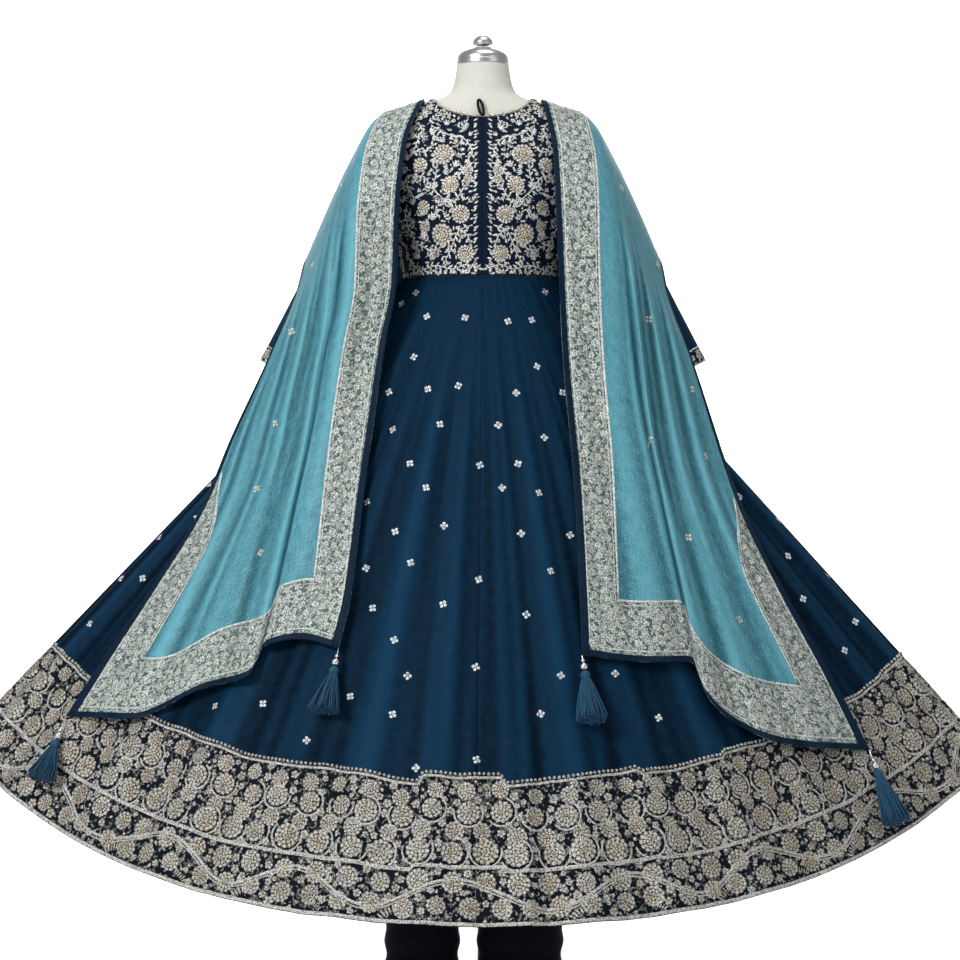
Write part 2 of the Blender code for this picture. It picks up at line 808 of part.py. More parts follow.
def make_bodice():
    """Bodice halves and front, zip placket, pull loop and neck binding."""
    us, vs = spread(0.0, 1.0, BODICE_COLUMNS), bodice_rows()
    centre_gap = SEAM_GAP / 0.2
    for side in (LEFT, RIGHT):
        name = "bodice_back_" + SIDE_NAME[side]
        wall(name, bodice_back(side, centre_gap), us, vs, ZARI, DRESS_CLOTH, facing=side)
    columns = spread(0.0, 1.0, 2 * BODICE_COLUMNS)
    wall("bodice_front", bodice_front, columns, vs, ZARI, DRESS_CLOTH)

    def placket(u, v):
        bearing = 0.5 * math.pi + PLACKET_BEARING * (1.0 - 2.0 * u)
        foot = EMPIRE_SEAM + SEAM_GAP
        return bodice(bearing, foot + (BACK_NECK - foot) * v)

    lift = 2.0 * SEAM_GAP + PLACKET_CLOTH
    across = spread(0.0, 1.0, 2)
    wall("zip_placket", placket, across, vs, NAVY, PLACKET_CLOTH, offset=lift)

    ring = []
    steps = 12
    for i in range(steps):
        angle = 2.0 * math.pi * i / steps
        height = BACK_NECK + LOOP_FOOT + 0.5 * LOOP_HEIGHT * (1.0 + math.cos(angle))
        clear = 0.0082 - 0.09 * (height - BACK_NECK)
        across = LOOP_HALF_WIDTH * math.sin(angle) - LOOP_LEAN * (height - BACK_NECK)
        ring.append(Vector((across, body(0.5 * math.pi, height).y - clear, height)))
    tube("zip_pull_loop", ring, LOOP_RADIUS, NAVY)

    binding = []
    for i in range(4 * BODICE_COLUMNS):
        bearing = 0.5 * math.pi * i / BODICE_COLUMNS
        height = neckline(bearing)
        foot = bodice(bearing, height)
        ahead = bodice(bearing, height + 0.001)
        upward = (ahead - foot).normalized()
        around = bodice(bearing + 0.001, height) - bodice(bearing - 0.001, height)
        outward = upward.cross(around).normalized()
        clear = NECK_BINDING_RADIUS + 2.0 * SEAM_GAP
        binding.append(foot + upward * clear + outward * 0.0010)
    tube("neck_binding", binding, NECK_BINDING_RADIUS, ZARI)


def tube(name, points, radius, finish):
    """Closed round cord through a loop of points."""
    curve = bpy.data.curves.new(name, "CURVE")
    curve.dimensions = "3D"
    curve.bevel_depth = radius
    curve.bevel_resolution = 1
    spline = curve.splines.new("POLY")
    spline.points.add(len(points) - 1)
    for knot, point in zip(spline.points, points):
        knot.co = (*point, 1.0)
    spline.use_cyclic_u = True
    part = bpy.data.objects.new(name, curve)
    curve.materials.append(make_material(finish))
    bpy.data.collections[SUIT].objects.link(part)
    return part


def make_sleeves():
    """Sleeves and their embroidered cuffs."""
    around = [i / 12 for i in range(12)]
    for side in (LEFT, RIGHT):
        name = SIDE_NAME[side]
        surface = sleeve(side)
        facing = -side
        body_rows = [0.0, 0.12, 0.30, 0.50, 0.72, CUFF_START]
        wall("sleeve_" + name, surface, around, body_rows, NAVY, DRESS_CLOTH, True, facing=facing)
        cuff_rows = [CUFF_START + 0.0008, 1.0]
        wall("cuff_" + name, surface, around, cuff_rows, ZARI, DRESS_CLOTH, True, facing=facing)


def make_skirt():
    """Four quarters of the skirt and the hem border sewn under each."""
    quarters = (
        ("back_right", 0.0, 0.5 * math.pi),
        ("back_left", 0.5 * math.pi, math.pi),
        ("front_left", math.pi, 1.5 * math.pi),
        ("front_right", 1.5 * math.pi, 2.0 * math.pi),
    )
    cells = 28
    panel_rows = [0.0006, 0.10, 0.25, 0.45, 0.65, BORDER_TOP]
    border_rows = [BORDER_TOP + 0.0004, BORDER_LINE, 1.0]
    for name, start, end in quarters:
        for kind, rows, finish in (("skirt_", panel_rows, NAVY), ("hem_border_", border_rows, ZARI)):

            def surface(u, v):
                nudge = (cone(u + 0.001, v) - cone(u - 0.001, v)).normalized()
                point = skirt(u, v)
                if abs(u - start) < 1e-9:
                    point += nudge * 0.5 * SEAM_GAP
                if abs(u - end) < 1e-9:
                    point -= nudge * 0.5 * SEAM_GAP
                return point

            wall(kind + name, surface, spread(start, end, cells), rows, finish, DRESS_CLOTH)


def make_trousers():
    """Two legs and the seat."""
    around = [i / 16 for i in range(16)]
    for side in (LEFT, RIGHT):
        name = "trouser_leg_" + SIDE_NAME[side]
        rows = [0.0, 0.2, 0.4, 0.6, 0.8, 1.0]
        wall(name, trouser_leg(side), around, rows, TROUSER, DRESS_CLOTH, True)
    ring = [i / FORM_SIDES for i in range(FORM_SIDES)]
    heights = [TROUSER_WAIST, 1.120, 1.070, 0.960, 0.880, CROTCH]
    wall("trouser_seat", trouser_seat, ring, heights, TROUSER, DRESS_CLOTH, True)


def make_scarf():
    """The two hanging ends, the front stretch and the navy binding."""
    for side, end in ((LEFT, LEFT_END), (RIGHT, RIGHT_END)):
        name = SIDE_NAME[side]
        surface = scarf_end(side, end)
        facing = float(-side)
        shares = spread(0.0, 1.0, SCARF_COLUMNS)
        hem_inset = BINDING_WIDTH / SCARF_FALL
        vs = [(1.0 - hem_inset) * (k / SCARF_ROWS) ** 1.5 for k in range(SCARF_ROWS + 1)]

        def panel(k, v, surface=surface):
            inset = scarf_inset(v) + BINDING_GAP
            return surface(inset + (1.0 - 2.0 * inset) * k, v)

        panel_vs = vs[:-1] + [vs[-1] - 2.0 * BINDING_GAP]
        wall("dupatta_back_" + name, panel, shares, panel_vs, TEAL, SCARF_CLOTH, facing=facing)
        binding_strip("dupatta_binding_" + name, surface, shares, vs, facing)
    inset = scarf_inset(0.3)
    us = spread(inset + BINDING_GAP, 1.0 - inset - BINDING_GAP, 14)
    vs = [0.5 - 0.5 * math.cos(math.pi * k / 16) for k in range(17)]
    wall("dupatta_front", scarf_front, us, vs, TEAL, SCARF_CLOTH, facing=-1.0)
    strips = (("neck", [0.0, inset]), ("front", [1.0 - inset, 1.0]))
    for name, edges in strips:
        wall("dupatta_binding_" + name, scarf_front, edges, vs, BINDING, SCARF_CLOTH, facing=-1.0)


def binding_strip(name, surface, shares, vs, facing):
    """Binding down the inner edge, along the hem and up the outer edge, in one strip."""
    low = vs[-1]
    inset = scarf_inset(low)
    route = [((0.0, v), (scarf_inset(v), v)) for v in vs[:-1]]
    route += [((0.0, 1.0), (inset, low))]
    route += [((k, 1.0), (inset + (1.0 - 2.0 * inset) * k, low)) for k in shares[1:-1]]
    route += [((1.0, 1.0), (1.0 - inset, low))]
    route += [((1.0, v), (1.0 - scarf_inset(v), v)) for v in reversed(vs[:-1])]
    bm = bmesh.new()
    skins = [[], []]
    for edge, inset in route:
        for pair, lift in enumerate((0.0, -SCARF_CLOTH)):
            row = []
            for u, v in (edge, inset):
                outward = facing * normal_of(surface, u, v)
                row.append(bm.verts.new(surface(u, v) + outward * lift))
            skins[pair].append(row)
    outer, inner = skins
    for i in range(len(route) - 1):
        bm.faces.new((outer[i][0], outer[i][1], outer[i + 1][1], outer[i + 1][0]))
        bm.faces.new((inner[i][0], inner[i][1], inner[i + 1][1], inner[i + 1][0]))
        for k in (0, 1):
            bm.faces.new((outer[i][k], outer[i + 1][k], inner[i + 1][k], inner[i][k]))
    for i in (0, len(route) - 1):
        bm.faces.new((outer[i][0], outer[i][1], inner[i][1], inner[i][0]))
    add_object(name, mesh_from(bm, name), BINDING)


def make_tassels():
    """A bead and a tassel at each corner of the hanging ends."""
    ends = {LEFT: LEFT_END, RIGHT: RIGHT_END}
    for corner in CORNERS:
        anchor = scarf_end(corner.side, ends[corner.side])(corner.across, 1.0)
        name = SIDE_NAME[corner.side] + "_" + corner.name
        slope, outward = down_slope(anchor)
        axis = (slope + 0.12 * outward).normalized()
        start = anchor + axis * 0.0007 - outward * 0.0006
        bead_at = start + axis * corner.thread
        bead(name, start, bead_at, axis)
        head_at = bead_at + axis * (BEAD_RADIUS + TASSEL_HEAD + SEAM_GAP)
        tassel(name, head_at, axis, corner.length)


def down_slope(point):
    """Direction down the skirt and straight out from it, under a point behind it."""
    step = 0.004
    depth = skirt_depth(point.x, point.z)
    lower = skirt_depth(point.x, point.z - step)
    beside = skirt_depth(point.x + step, point.z)
    down = Vector((0.0, lower - depth, -step))
    across = Vector((step, beside - depth, 0.0))
    outward = down.cross(across).normalized()
    if outward.y > 0.0:
        outward = -outward
    slope = (Vector((0.0, 0.0, -1.0)) + outward * outward.z).normalized()
    return slope, outward


def bead(name, start, centre, axis):
    """Silver bead on a short twist of thread."""
    length = (centre - start).length
    profile = [(0.0, length), (0.0011, length), (0.0011, BEAD_RADIUS * 0.98)]
    profile += [
        (BEAD_RADIUS * math.sin(a), BEAD_RADIUS * math.cos(a))
        for a in (math.radians(30 + 30 * i) for i in range(5))
    ]
    profile += [(0.0, -BEAD_RADIUS)]
    part = turned("tassel_bead_" + name, profile, BEAD, steps=8, place=centre)
    part.rotation_mode = "QUATERNION"
    part.rotation_quaternion = (-axis).to_track_quat("Z", "Y")
    return part


def tassel(name, head_at, axis, drop):
    """Tassel: a round head with strands that stand apart below it."""
    bm = bmesh.new()
    bmesh.ops.create_uvsphere(bm, u_segments=7, v_segments=8, radius=TASSEL_HEAD)
    roots = [face for face in bm.faces if face.calc_center_median().z < 0.0]
    bmesh.ops.inset_individual(bm, faces=roots, thickness=STRAND_GAP)
    result = bmesh.ops.extrude_discrete_faces(bm, faces=roots)
    for face in result["faces"]:
        centre = face.calc_center_median()
        radial = Vector((centre.x, centre.y, 0.0))
        reach = min(1.0, radial.length / TASSEL_HEAD)
        tip = Vector((0.0, 0.0, -drop))
        if reach > 0.0:
            tip += radial.normalized() * (TASSEL_SPREAD * reach**1.1)
        for vert in face.verts:
            vert.co = tip + (vert.co - centre) * 0.55
    bmesh.ops.triangulate(bm, faces=bm.faces)
    mesh = bpy.data.meshes.new("tassel_" + name)
    bm.to_mesh(mesh)
    bm.free()
    part = add_object("tassel_" + name, mesh, THREAD)
    part.location = head_at
    part.rotation_mode = "QUATERNION"
    part.rotation_quaternion = (-axis).to_track_quat("Z", "Y")
    return part


SUIT = "anarkali_suit"


def main():
    """Clear the scene and build the suit."""
    for old in list(bpy.data.objects):
        bpy.data.objects.remove(old, do_unlink=True)
    collection = bpy.data.collections.new(SUIT)
    bpy.context.scene.collection.children.link(collection)
    make_form()
    make_bodice()
    make_sleeves()
    make_skirt()
    make_trousers()
    make_scarf()
    make_tassels()


main()
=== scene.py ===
"""Looks of an anarkali suit on its dress form: cloth, embroidery, tassels and studio.

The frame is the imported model. Every shell follows the same functions as its solid, so
the cloth lies where the solids are. Metres, +Z up; the suit's back faces -Y.
"""

import logging
import math
from dataclasses import dataclass, field
from enum import Enum
from typing import Callable, NamedTuple, Sequence

import bpy
import numpy as np
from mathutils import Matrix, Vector


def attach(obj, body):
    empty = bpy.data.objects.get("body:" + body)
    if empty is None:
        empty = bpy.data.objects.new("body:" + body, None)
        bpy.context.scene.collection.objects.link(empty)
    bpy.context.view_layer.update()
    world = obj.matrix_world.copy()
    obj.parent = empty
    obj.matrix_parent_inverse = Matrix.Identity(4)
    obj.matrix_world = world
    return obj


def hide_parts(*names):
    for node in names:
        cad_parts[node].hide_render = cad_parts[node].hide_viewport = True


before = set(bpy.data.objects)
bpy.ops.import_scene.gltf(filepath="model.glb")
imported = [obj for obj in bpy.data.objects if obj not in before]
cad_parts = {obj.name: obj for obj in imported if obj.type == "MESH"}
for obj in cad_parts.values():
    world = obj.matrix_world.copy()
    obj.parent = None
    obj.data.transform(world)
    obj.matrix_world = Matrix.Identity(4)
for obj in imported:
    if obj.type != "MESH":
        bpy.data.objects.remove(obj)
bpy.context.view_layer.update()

Array = np.ndarray
Surface = Callable[[Array, Array], Array]
Edges = Callable[[Array, Array], tuple[Array, Array, Array, Array]]
Colour = tuple[float, float, float]

LOG = logging.getLogger("anarkali_suit")

# Cloth and clearances
DRESS_CLOTH = 0.0015
SCARF_CLOTH = 0.0013
SEAM_GAP = 0.0003
BODICE_EASE = 0.0042

# Visible shells, which lie on the solids' own surfaces
PLAIN_SHELL = 0.0011
BODICE_SHELL = 0.0012
CUFF_SHELL = 0.0013
SCARF_SHELL = 0.0010
BINDING_SHELL = 0.0024
BINDING_LIFT = 0.0007
PLACKET_LIFT = 0.0017

# Heights
NECK_TOP = 1.690
NECK_SIDE = 1.6255
BACK_NECK = 1.591
FRONT_NECK = 1.545
SHOULDER_TIP = 1.590
ARMPIT = 1.460
EMPIRE_SEAM = 1.322
TROUSER_WAIST = 1.165
CROTCH = 0.800
TROUSER_HEM = 0.100
FORM_BOTTOM = 0.822

# Skirt
SKIRT_LENGTH = 1.103
HEM_HALF_WIDTH = 0.889
HEM_HALF_DEPTH = 0.502
HEM_SIDE_ROUND = 0.25
HEM_SIDE_POWER = 2.42
HEM_SWAY = -0.012
BORDER_TOP = 0.787
BORDER_LINE = 0.918

# Steps of the border's upper edge where the folds lap: bearing in degrees, share further down
BORDER_STEPS = (
    (0.0, 0.0),
    (16.0, -0.003),
    (28.0, 0.003),
    (41.0, -0.003),
    (41.6, 0.003),
    (57.4, -0.003),
    (58.0, 0.003),
    (69.4, 0.0055),
    (70.1, -0.003),
    (86.6, 0.0085),
    (87.1, -0.004),
    (96.6, -0.004),
    (97.1, 0.0085),
    (107.8, -0.003),
    (117.8, 0.004),
    (130.0, -0.002),
    (146.0, 0.003),
    (163.0, -0.003),
    (180.0, 0.0),
)

# Sleeves
ARMHOLE_SPREAD = math.radians(28)
SLEEVE_LEAN = math.radians(27)
CUFF_RADIUS = 0.044
CUFF_OUTER = (0.387, 0.040, 1.184)
CUFF_START = 0.935

# Scarf
BINDING_WIDTH = 0.015
RIDGE_WIDTH = 0.364
BINDING_SHARE = 0.010 / RIDGE_WIDTH
OUTER_BORDER_GROWS = 0.22
ROW_EASE = 1.5
SCARF_OFF_SKIRT = 0.005
SCARF_OFF_BODICE = 0.0068
SCARF_SOFTNESS = 0.008
RIDGE_ROLL = 0.10
NEAR_RIDGE = 0.001
SWAG_TOP = (0.152, 1.430)
SWAG_BOTTOM = (0.262, 1.060)
SWAG_FOLDS = ((0.14, 0.016, 0.10), (0.33, 0.012, 0.09), (0.54, 0.019, 0.11), (0.76, 0.014, 0.10))

# Body rings: height, half width, half depth
BODY = (
    (NECK_TOP, 0.0450, 0.0450),
    (1.660, 0.0500, 0.0500),
    (1.640, 0.0610, 0.0560),
    (1.6255, 0.0930, 0.0610),
    (1.608, 0.1380, 0.0660),
    (1.590, 0.1690, 0.0720),
    (1.560, 0.1755, 0.0830),
    (1.500, 0.1700, 0.1010),
    (1.440, 0.1600, 0.1120),
    (1.380, 0.1430, 0.1070),
    (1.322, 0.1300, 0.0990),
    (1.200, 0.1230, 0.0930),
    (TROUSER_WAIST, 0.1290, 0.0970),
    (1.120, 0.1430, 0.1060),
    (1.070, 0.1570, 0.1140),
    (0.960, 0.1720, 0.1200),
    (0.860, 0.1640, 0.1150),
    (FORM_BOTTOM, 0.1500, 0.1050),
)

# Skirt folds: bearing in degrees, height at the hem, half spread in degrees
SKIRT_FOLDS = (
    (12, 0.012, 5.5),
    (24, 0.009, 5.0),
    (36, 0.013, 6.0),
    (48, 0.009, 5.0),
    (59, 0.012, 5.0),
    (69, 0.010, 4.5),
    (78, 0.014, 4.5),
    (86, 0.008, 4.0),
    (95, 0.012, 4.5),
    (104, 0.015, 4.5),
    (114, 0.009, 5.0),
    (125, 0.013, 5.5),
    (137, 0.010, 5.5),
    (150, 0.013, 6.0),
    (164, 0.011, 6.0),
    (195, 0.012, 6.0),
    (208, 0.010, 6.0),
    (221, 0.014, 6.0),
    (233, 0.009, 5.5),
    (245, 0.012, 5.0),
    (255, 0.010, 4.5),
    (264, 0.013, 4.5),
    (274, 0.009, 4.5),
    (284, 0.014, 4.5),
    (294, 0.010, 5.0),
    (305, 0.012, 5.5),
    (317, 0.009, 5.5),
    (330, 0.013, 6.0),
    (344, 0.011, 6.0),
)

# Lesser creases between them: bearing, height, half spread, share where they begin
SKIRT_CREASES = (
    (64.5, 0.0045, 2.0, 0.05),
    (73.5, 0.0050, 1.8, 0.02),
    (81.5, 0.0040, 1.6, 0.10),
    (84.0, 0.0050, 1.5, 0.00),
    (90.5, 0.0060, 2.0, 0.00),
    (98.5, 0.0050, 1.7, 0.05),
    (101.0, 0.0035, 1.5, 0.25),
    (109.0, 0.0055, 2.0, 0.03),
    (118.5, 0.0045, 2.1, 0.12),
    (53.5, 0.0040, 2.2, 0.15),
    (42.0, 0.0045, 2.4, 0.10),
    (30.0, 0.0040, 2.5, 0.20),
    (18.0, 0.0045, 2.6, 0.15),
    (131.0, 0.0050, 2.3, 0.10),
    (143.5, 0.0045, 2.4, 0.18),
    (157.0, 0.0040, 2.6, 0.12),
    (171.0, 0.0045, 2.6, 0.20),
    (201.5, 0.0045, 2.6, 0.10),
    (214.5, 0.0040, 2.4, 0.20),
    (227.0, 0.0050, 2.3, 0.08),
    (239.0, 0.0040, 2.1, 0.15),
    (250.0, 0.0050, 1.9, 0.04),
    (259.5, 0.0045, 1.7, 0.10),
    (269.0, 0.0055, 1.8, 0.00),
    (279.0, 0.0045, 1.8, 0.06),
    (289.0, 0.0050, 1.9, 0.12),
    (299.5, 0.0040, 2.1, 0.18),
    (311.0, 0.0045, 2.3, 0.10),
    (323.5, 0.0040, 2.4, 0.15),
    (337.0, 0.0045, 2.5, 0.12),
    (352.0, 0.0040, 2.6, 0.20),
)

# Ridge of the scarf over shoulder and arm: share, distance out, depth, height
RIDGE = (
    (0.00, 0.100, 0.000, 1.6310),
    (0.12, 0.140, 0.000, 1.6190),
    (0.20, 0.170, 0.000, 1.6090),
    (0.28, 0.192, 0.001, 1.5900),
    (0.41, 0.217, 0.004, 1.5480),
    (0.64, 0.254, 0.010, 1.4750),
    (1.00, 0.308, 0.014, 1.3520),
)


class ScarfEnd(NamedTuple):
    """One hanging end of the scarf.

    Its edges are tables of (share, out, depth, height). Its folds and creases are tables of
    (place at the ridge, place at the hem, height, half spread), with places as shares across.
    Its outer border starts to grow at a share of the way down.
    """

    inner: tuple
    outer: tuple
    hem: tuple
    folds: tuple
    creases: tuple
    outer_border_from: float


LEFT_END = ScarfEnd(
    inner=(
        (0.00, 0.100, -0.062, 1.6310),
        (0.09, 0.128, -0.086, 1.5520),
        (0.20, 0.139, -0.124, 1.4460),
        (0.34, 0.143, -0.138, 1.3110),
        (0.47, 0.164, -0.150, 1.1940),
        (0.70, 0.192, -0.209, 0.9780),
        (0.91, 0.213, -0.286, 0.7850),
        (1.00, 0.231, -0.312, 0.7090),
    ),
    outer=(
        (0.00, 0.308, -0.026, 1.3520),
        (0.04, 0.313, -0.030, 1.3230),
        (0.08, 0.321, -0.032, 1.2910),
        (0.23, 0.371, -0.046, 1.1720),
        (0.40, 0.431, -0.040, 1.0450),
        (0.55, 0.479, -0.058, 0.9270),
        (0.72, 0.562, -0.087, 0.7910),
        (0.86, 0.629, -0.102, 0.6900),
        (1.00, 0.696, -0.121, 0.5830),
    ),
    hem=(
        (0.00, 0.231, 0.0, 0.7090),
        (0.14, 0.294, 0.0, 0.7220),
        (0.28, 0.352, 0.0, 0.7100),
        (0.38, 0.376, 0.0, 0.6650),
        (0.56, 0.463, 0.0, 0.6360),
        (0.79, 0.580, 0.0, 0.5860),
        (1.00, 0.696, 0.0, 0.5830),
    ),
    folds=(
        (0.22, 0.24, 0.012, 0.11),
        (0.42, 0.40, 0.020, 0.10),
        (0.60, 0.60, 0.012, 0.10),
        (0.78, 0.80, 0.010, 0.10),
    ),
    creases=(
        (0.34, 0.30, 0.0040, 0.035),
        (0.47, 0.52, 0.0045, 0.040),
        (0.55, 0.47, 0.0035, 0.030),
        (0.66, 0.70, 0.0040, 0.038),
        (0.72, 0.66, 0.0030, 0.030),
        (0.88, 0.90, 0.0040, 0.040),
    ),
    outer_border_from=0.46,
)

RIGHT_END = ScarfEnd(
    inner=(
        (0.00, 0.100, -0.062, 1.6310),
        (0.10, 0.118, -0.088, 1.5350),
        (0.20, 0.122, -0.124, 1.4460),
        (0.34, 0.127, -0.140, 1.3110),
        (0.46, 0.132, -0.152, 1.1940),
        (0.69, 0.148, -0.223, 0.9760),
        (0.90, 0.155, -0.301, 0.7840),
        (1.00, 0.157, -0.334, 0.7000),
    ),
    outer=(
        (0.00, 0.308, -0.026, 1.3520),
        (0.04, 0.312, -0.030, 1.3220),
        (0.07, 0.316, -0.032, 1.2960),
        (0.22, 0.360, -0.046, 1.1720),
        (0.40, 0.408, -0.045, 1.0250),
        (0.53, 0.444, -0.077, 0.9170),
        (0.71, 0.514, -0.112, 0.7740),
        (0.85, 0.579, -0.136, 0.6540),
        (1.00, 0.639, -0.164, 0.5310),
    ),
    hem=(
        (0.00, 0.157, 0.0, 0.7000),
        (0.20, 0.251, 0.0, 0.6870),
        (0.37, 0.335, 0.0, 0.6840),
        (0.47, 0.357, 0.0, 0.6340),
        (0.60, 0.415, 0.0, 0.5800),
        (0.76, 0.501, 0.0, 0.5480),
        (1.00, 0.639, 0.0, 0.5310),
    ),
    folds=(
        (0.24, 0.26, 0.010, 0.11),
        (0.44, 0.49, 0.020, 0.10),
        (0.62, 0.68, 0.012, 0.09),
        (0.80, 0.84, 0.010, 0.09),
    ),
    creases=(
        (0.33, 0.36, 0.0040, 0.035),
        (0.40, 0.58, 0.0035, 0.034),
        (0.53, 0.56, 0.0045, 0.036),
        (0.57, 0.76, 0.0040, 0.036),
        (0.71, 0.74, 0.0035, 0.030),
        (0.90, 0.93, 0.0040, 0.036),
    ),
    outer_border_from=0.48,
)


class Side(Enum):
    """Wearer's left or right: the sign of X there."""

    LEFT = -1
    RIGHT = 1

    @property
    def word(self) -> str:
        """The side's name as the nodes spell it."""
        return self.name.lower()


# Reading tables and shaping curves


def read_curve(rows: Sequence[Sequence[float]], keys: Array, column: int) -> Array:
    """Read a table's column along its first column, on a smooth curve that never overshoots.

    Args:
        rows: the table, its first column rising or falling.
        keys: where to read it.
        column: which column to read.

    Returns:
        The values, in the shape of keys.
    """
    table = np.array(rows, dtype=float)
    if table[0, 0] > table[-1, 0]:
        table = table[::-1]
    knots, values = table[:, 0], table[:, column]
    slopes = np.diff(values) / np.diff(knots)
    before, after = slopes[:-1], slopes[1:]
    same = before * after > 0.0
    tangents = np.concatenate([slopes[:1], np.zeros(len(slopes) - 1), slopes[-1:]])
    tangents[1:-1] = np.where(same, 2.0 * before * after / np.where(same, before + after, 1.0), 0.0)
    keys = np.clip(np.asarray(keys, dtype=float), knots[0], knots[-1])
    index = np.clip(np.searchsorted(knots, keys) - 1, 0, len(knots) - 2)
    span = knots[index + 1] - knots[index]
    t = (keys - knots[index]) / span
    return (
        values[index] * (2 * t**3 - 3 * t**2 + 1)
        + values[index + 1] * (3 * t**2 - 2 * t**3)
        + tangents[index] * span * (t**3 - 2 * t**2 + t)
        + tangents[index + 1] * span * (t**3 - t**2)
    )


def smooth(value: Array) -> Array:
    """Ease from 0 to 1, flat at both ends."""
    value = np.clip(value, 0.0, 1.0)
    return value * value * (3.0 - 2.0 * value)


def hump(distance: Array, spread: float) -> Array:
    """A round hump, 1 at its middle and 0 at its spread."""
    return np.where(np.abs(distance) < spread, 0.5 + 0.5 * np.cos(np.pi * distance / spread), 0.0)


def unit(vectors: Array) -> Array:
    """The vectors at length 1."""
    return vectors / np.maximum(np.linalg.norm(vectors, axis=-1, keepdims=True), 1e-12)


def stack(x: Array, y: Array, z: Array) -> Array:
    """Points from their three coordinates, brought to one shape."""
    return np.stack(np.broadcast_arrays(x, y, z), axis=-1).astype(float)


# The suit's own surfaces


def body(bearing: Array, height: Array) -> Array:
    """Dress form's skin at a bearing (0 at +X, a quarter turn at the back)."""
    half_width = read_curve(BODY, height, 1)
    half_depth = read_curve(BODY, height, 2)
    return stack(half_width * np.cos(bearing), -half_depth * np.sin(bearing), height)


def bodice(bearing: Array, height: Array) -> Array:
    """Outer skin of the bodice."""
    step = 0.001
    around = body(bearing + step, height) - body(bearing - step, height)
    down = body(bearing, height - step) - body(bearing, height + step)
    outward = unit(np.cross(around, down))
    ease = BODICE_EASE * smooth((SHOULDER_TIP + 0.01 - height) / 0.10)
    return body(bearing, height) + outward * (SEAM_GAP + ease + DRESS_CLOTH)[..., None]


def neckline(bearing: Array) -> Array:
    """Height of the neckline at a bearing: round behind, deeper in front."""
    low = np.where(np.sin(bearing) >= 0.0, BACK_NECK, FRONT_NECK)
    return low + (NECK_SIDE - low) * smooth(np.abs(np.cos(bearing)))


def armhole_bearing(height: Array) -> Array:
    """How far round from the side the armhole reaches at a height."""
    middle = 0.5 * (SHOULDER_TIP + ARMPIT)
    reach = 0.5 * (SHOULDER_TIP - ARMPIT)
    share = 1.0 - ((height - middle) / reach) ** 2
    return ARMHOLE_SPREAD * np.sqrt(np.maximum(0.0, share))


def bodice_half(side: Side, front: bool) -> Surface:
    """Surface of half the bodice: u from the centre to the side, v from neck to seam.

    Args:
        side: which half.
        front: whether it is the front's half.

    Returns:
        A function from u and v to points.
    """
    turn = -1.0 if front else 1.0

    def surface(u: Array, v: Array) -> Array:
        """Points of the half at shares u and v."""
        low = EMPIRE_SEAM + SEAM_GAP
        gap = SEAM_GAP / 0.13
        centre = 0.5 * math.pi
        rise = 1.0 - v
        edge = np.maximum(gap, armhole_bearing(low + rise * (NECK_SIDE - low)))
        top = neckline(turn * (centre - u * (centre - gap)))
        height = low + rise * (top - low)
        points = bodice(turn * (centre - u * (centre - edge)), height)
        points[..., 0] *= side.value
        return points

    return surface


def waist_ring(bearing: Array) -> Array:
    """Where the skirt is sewn to the bodice."""
    return bodice(bearing, np.full_like(bearing, EMPIRE_SEAM))


def hem_ring(bearing: Array) -> Array:
    """Hem of the skirt: its plan, at the height that the cut's length gives."""
    rise = np.abs(np.sin(bearing))
    depth = HEM_SIDE_ROUND * rise + (1.0 - HEM_SIDE_ROUND) * rise**HEM_SIDE_POWER
    x = HEM_SWAY + HEM_HALF_WIDTH * np.cos(bearing)
    y = -np.sign(np.sin(bearing)) * HEM_HALF_DEPTH * depth
    start = waist_ring(bearing)
    reach = np.hypot(x - start[..., 0], y - start[..., 1])
    return stack(x, y, EMPIRE_SEAM - np.sqrt(SKIRT_LENGTH**2 - reach**2))


def cone(bearing: Array, share: Array) -> Array:
    """The skirt without its folds, straight from the seam to the hem."""
    top = waist_ring(bearing)
    return top + (hem_ring(bearing) - top) * share[..., None]


def skirt_folds(bearing: Array, share: Array) -> Array:
    """Height of the folds, creases and gathers over the plain skirt."""
    degrees = np.degrees(bearing) % 360.0
    height = np.zeros_like(degrees)
    for place, depth, spread in SKIRT_FOLDS:
        height = np.maximum(height, depth * hump(degrees - place, spread))
    height *= smooth(share / 0.35) * (0.35 + 0.65 * share)
    for place, depth, spread, begins in SKIRT_CREASES:
        swing = place + 0.5 * np.sin(5.0 * share + place)
        grown = smooth((share - begins) / 0.25) * (0.45 + 0.55 * share)
        height += depth * grown * hump(degrees - swing, spread)
    gathers = np.sin(np.radians(degrees) * 58.0 + 1.7 * np.sin(np.radians(degrees) * 9.0))
    height += 0.0007 * gathers * np.exp(-share / 0.10) * smooth(share / 0.006)
    return height


def skirt(bearing: Array, share: Array) -> Array:
    """Outer skin of the skirt with its folds."""
    step = 0.0005
    across = cone(bearing + step, share) - cone(bearing - step, share)
    down = cone(bearing, share + step) - cone(bearing, share - step)
    outward = unit(np.cross(across, down))
    return cone(bearing, share) + outward * skirt_folds(bearing, share)[..., None]


def skirt_hollow(bearing: Array, share: Array) -> Array:
    """Painted shade for the skirt's folds: 1 deep between them, -1 on a crest for a painted highlight, with
    fine bands of painted shade along soft pleats.
    """
    grown = smooth(share / 0.35) * (0.35 + 0.65 * share)
    rise = skirt_folds(bearing, share) / (0.012 * np.maximum(grown, 0.05))
    degrees = np.degrees(bearing)
    # Painted shade in fine bands along the soft pleats.
    painted_pleat_streaks = np.sin(2.0 * np.pi * degrees / 2.9 + 1.4 * np.sin(0.21 * degrees) + 0.8 * share)
    return np.clip(1.05 - 1.7 * rise + 0.25 * painted_pleat_streaks, -1.0, 1.0) * np.minimum(1.0, 1.4 * grown)


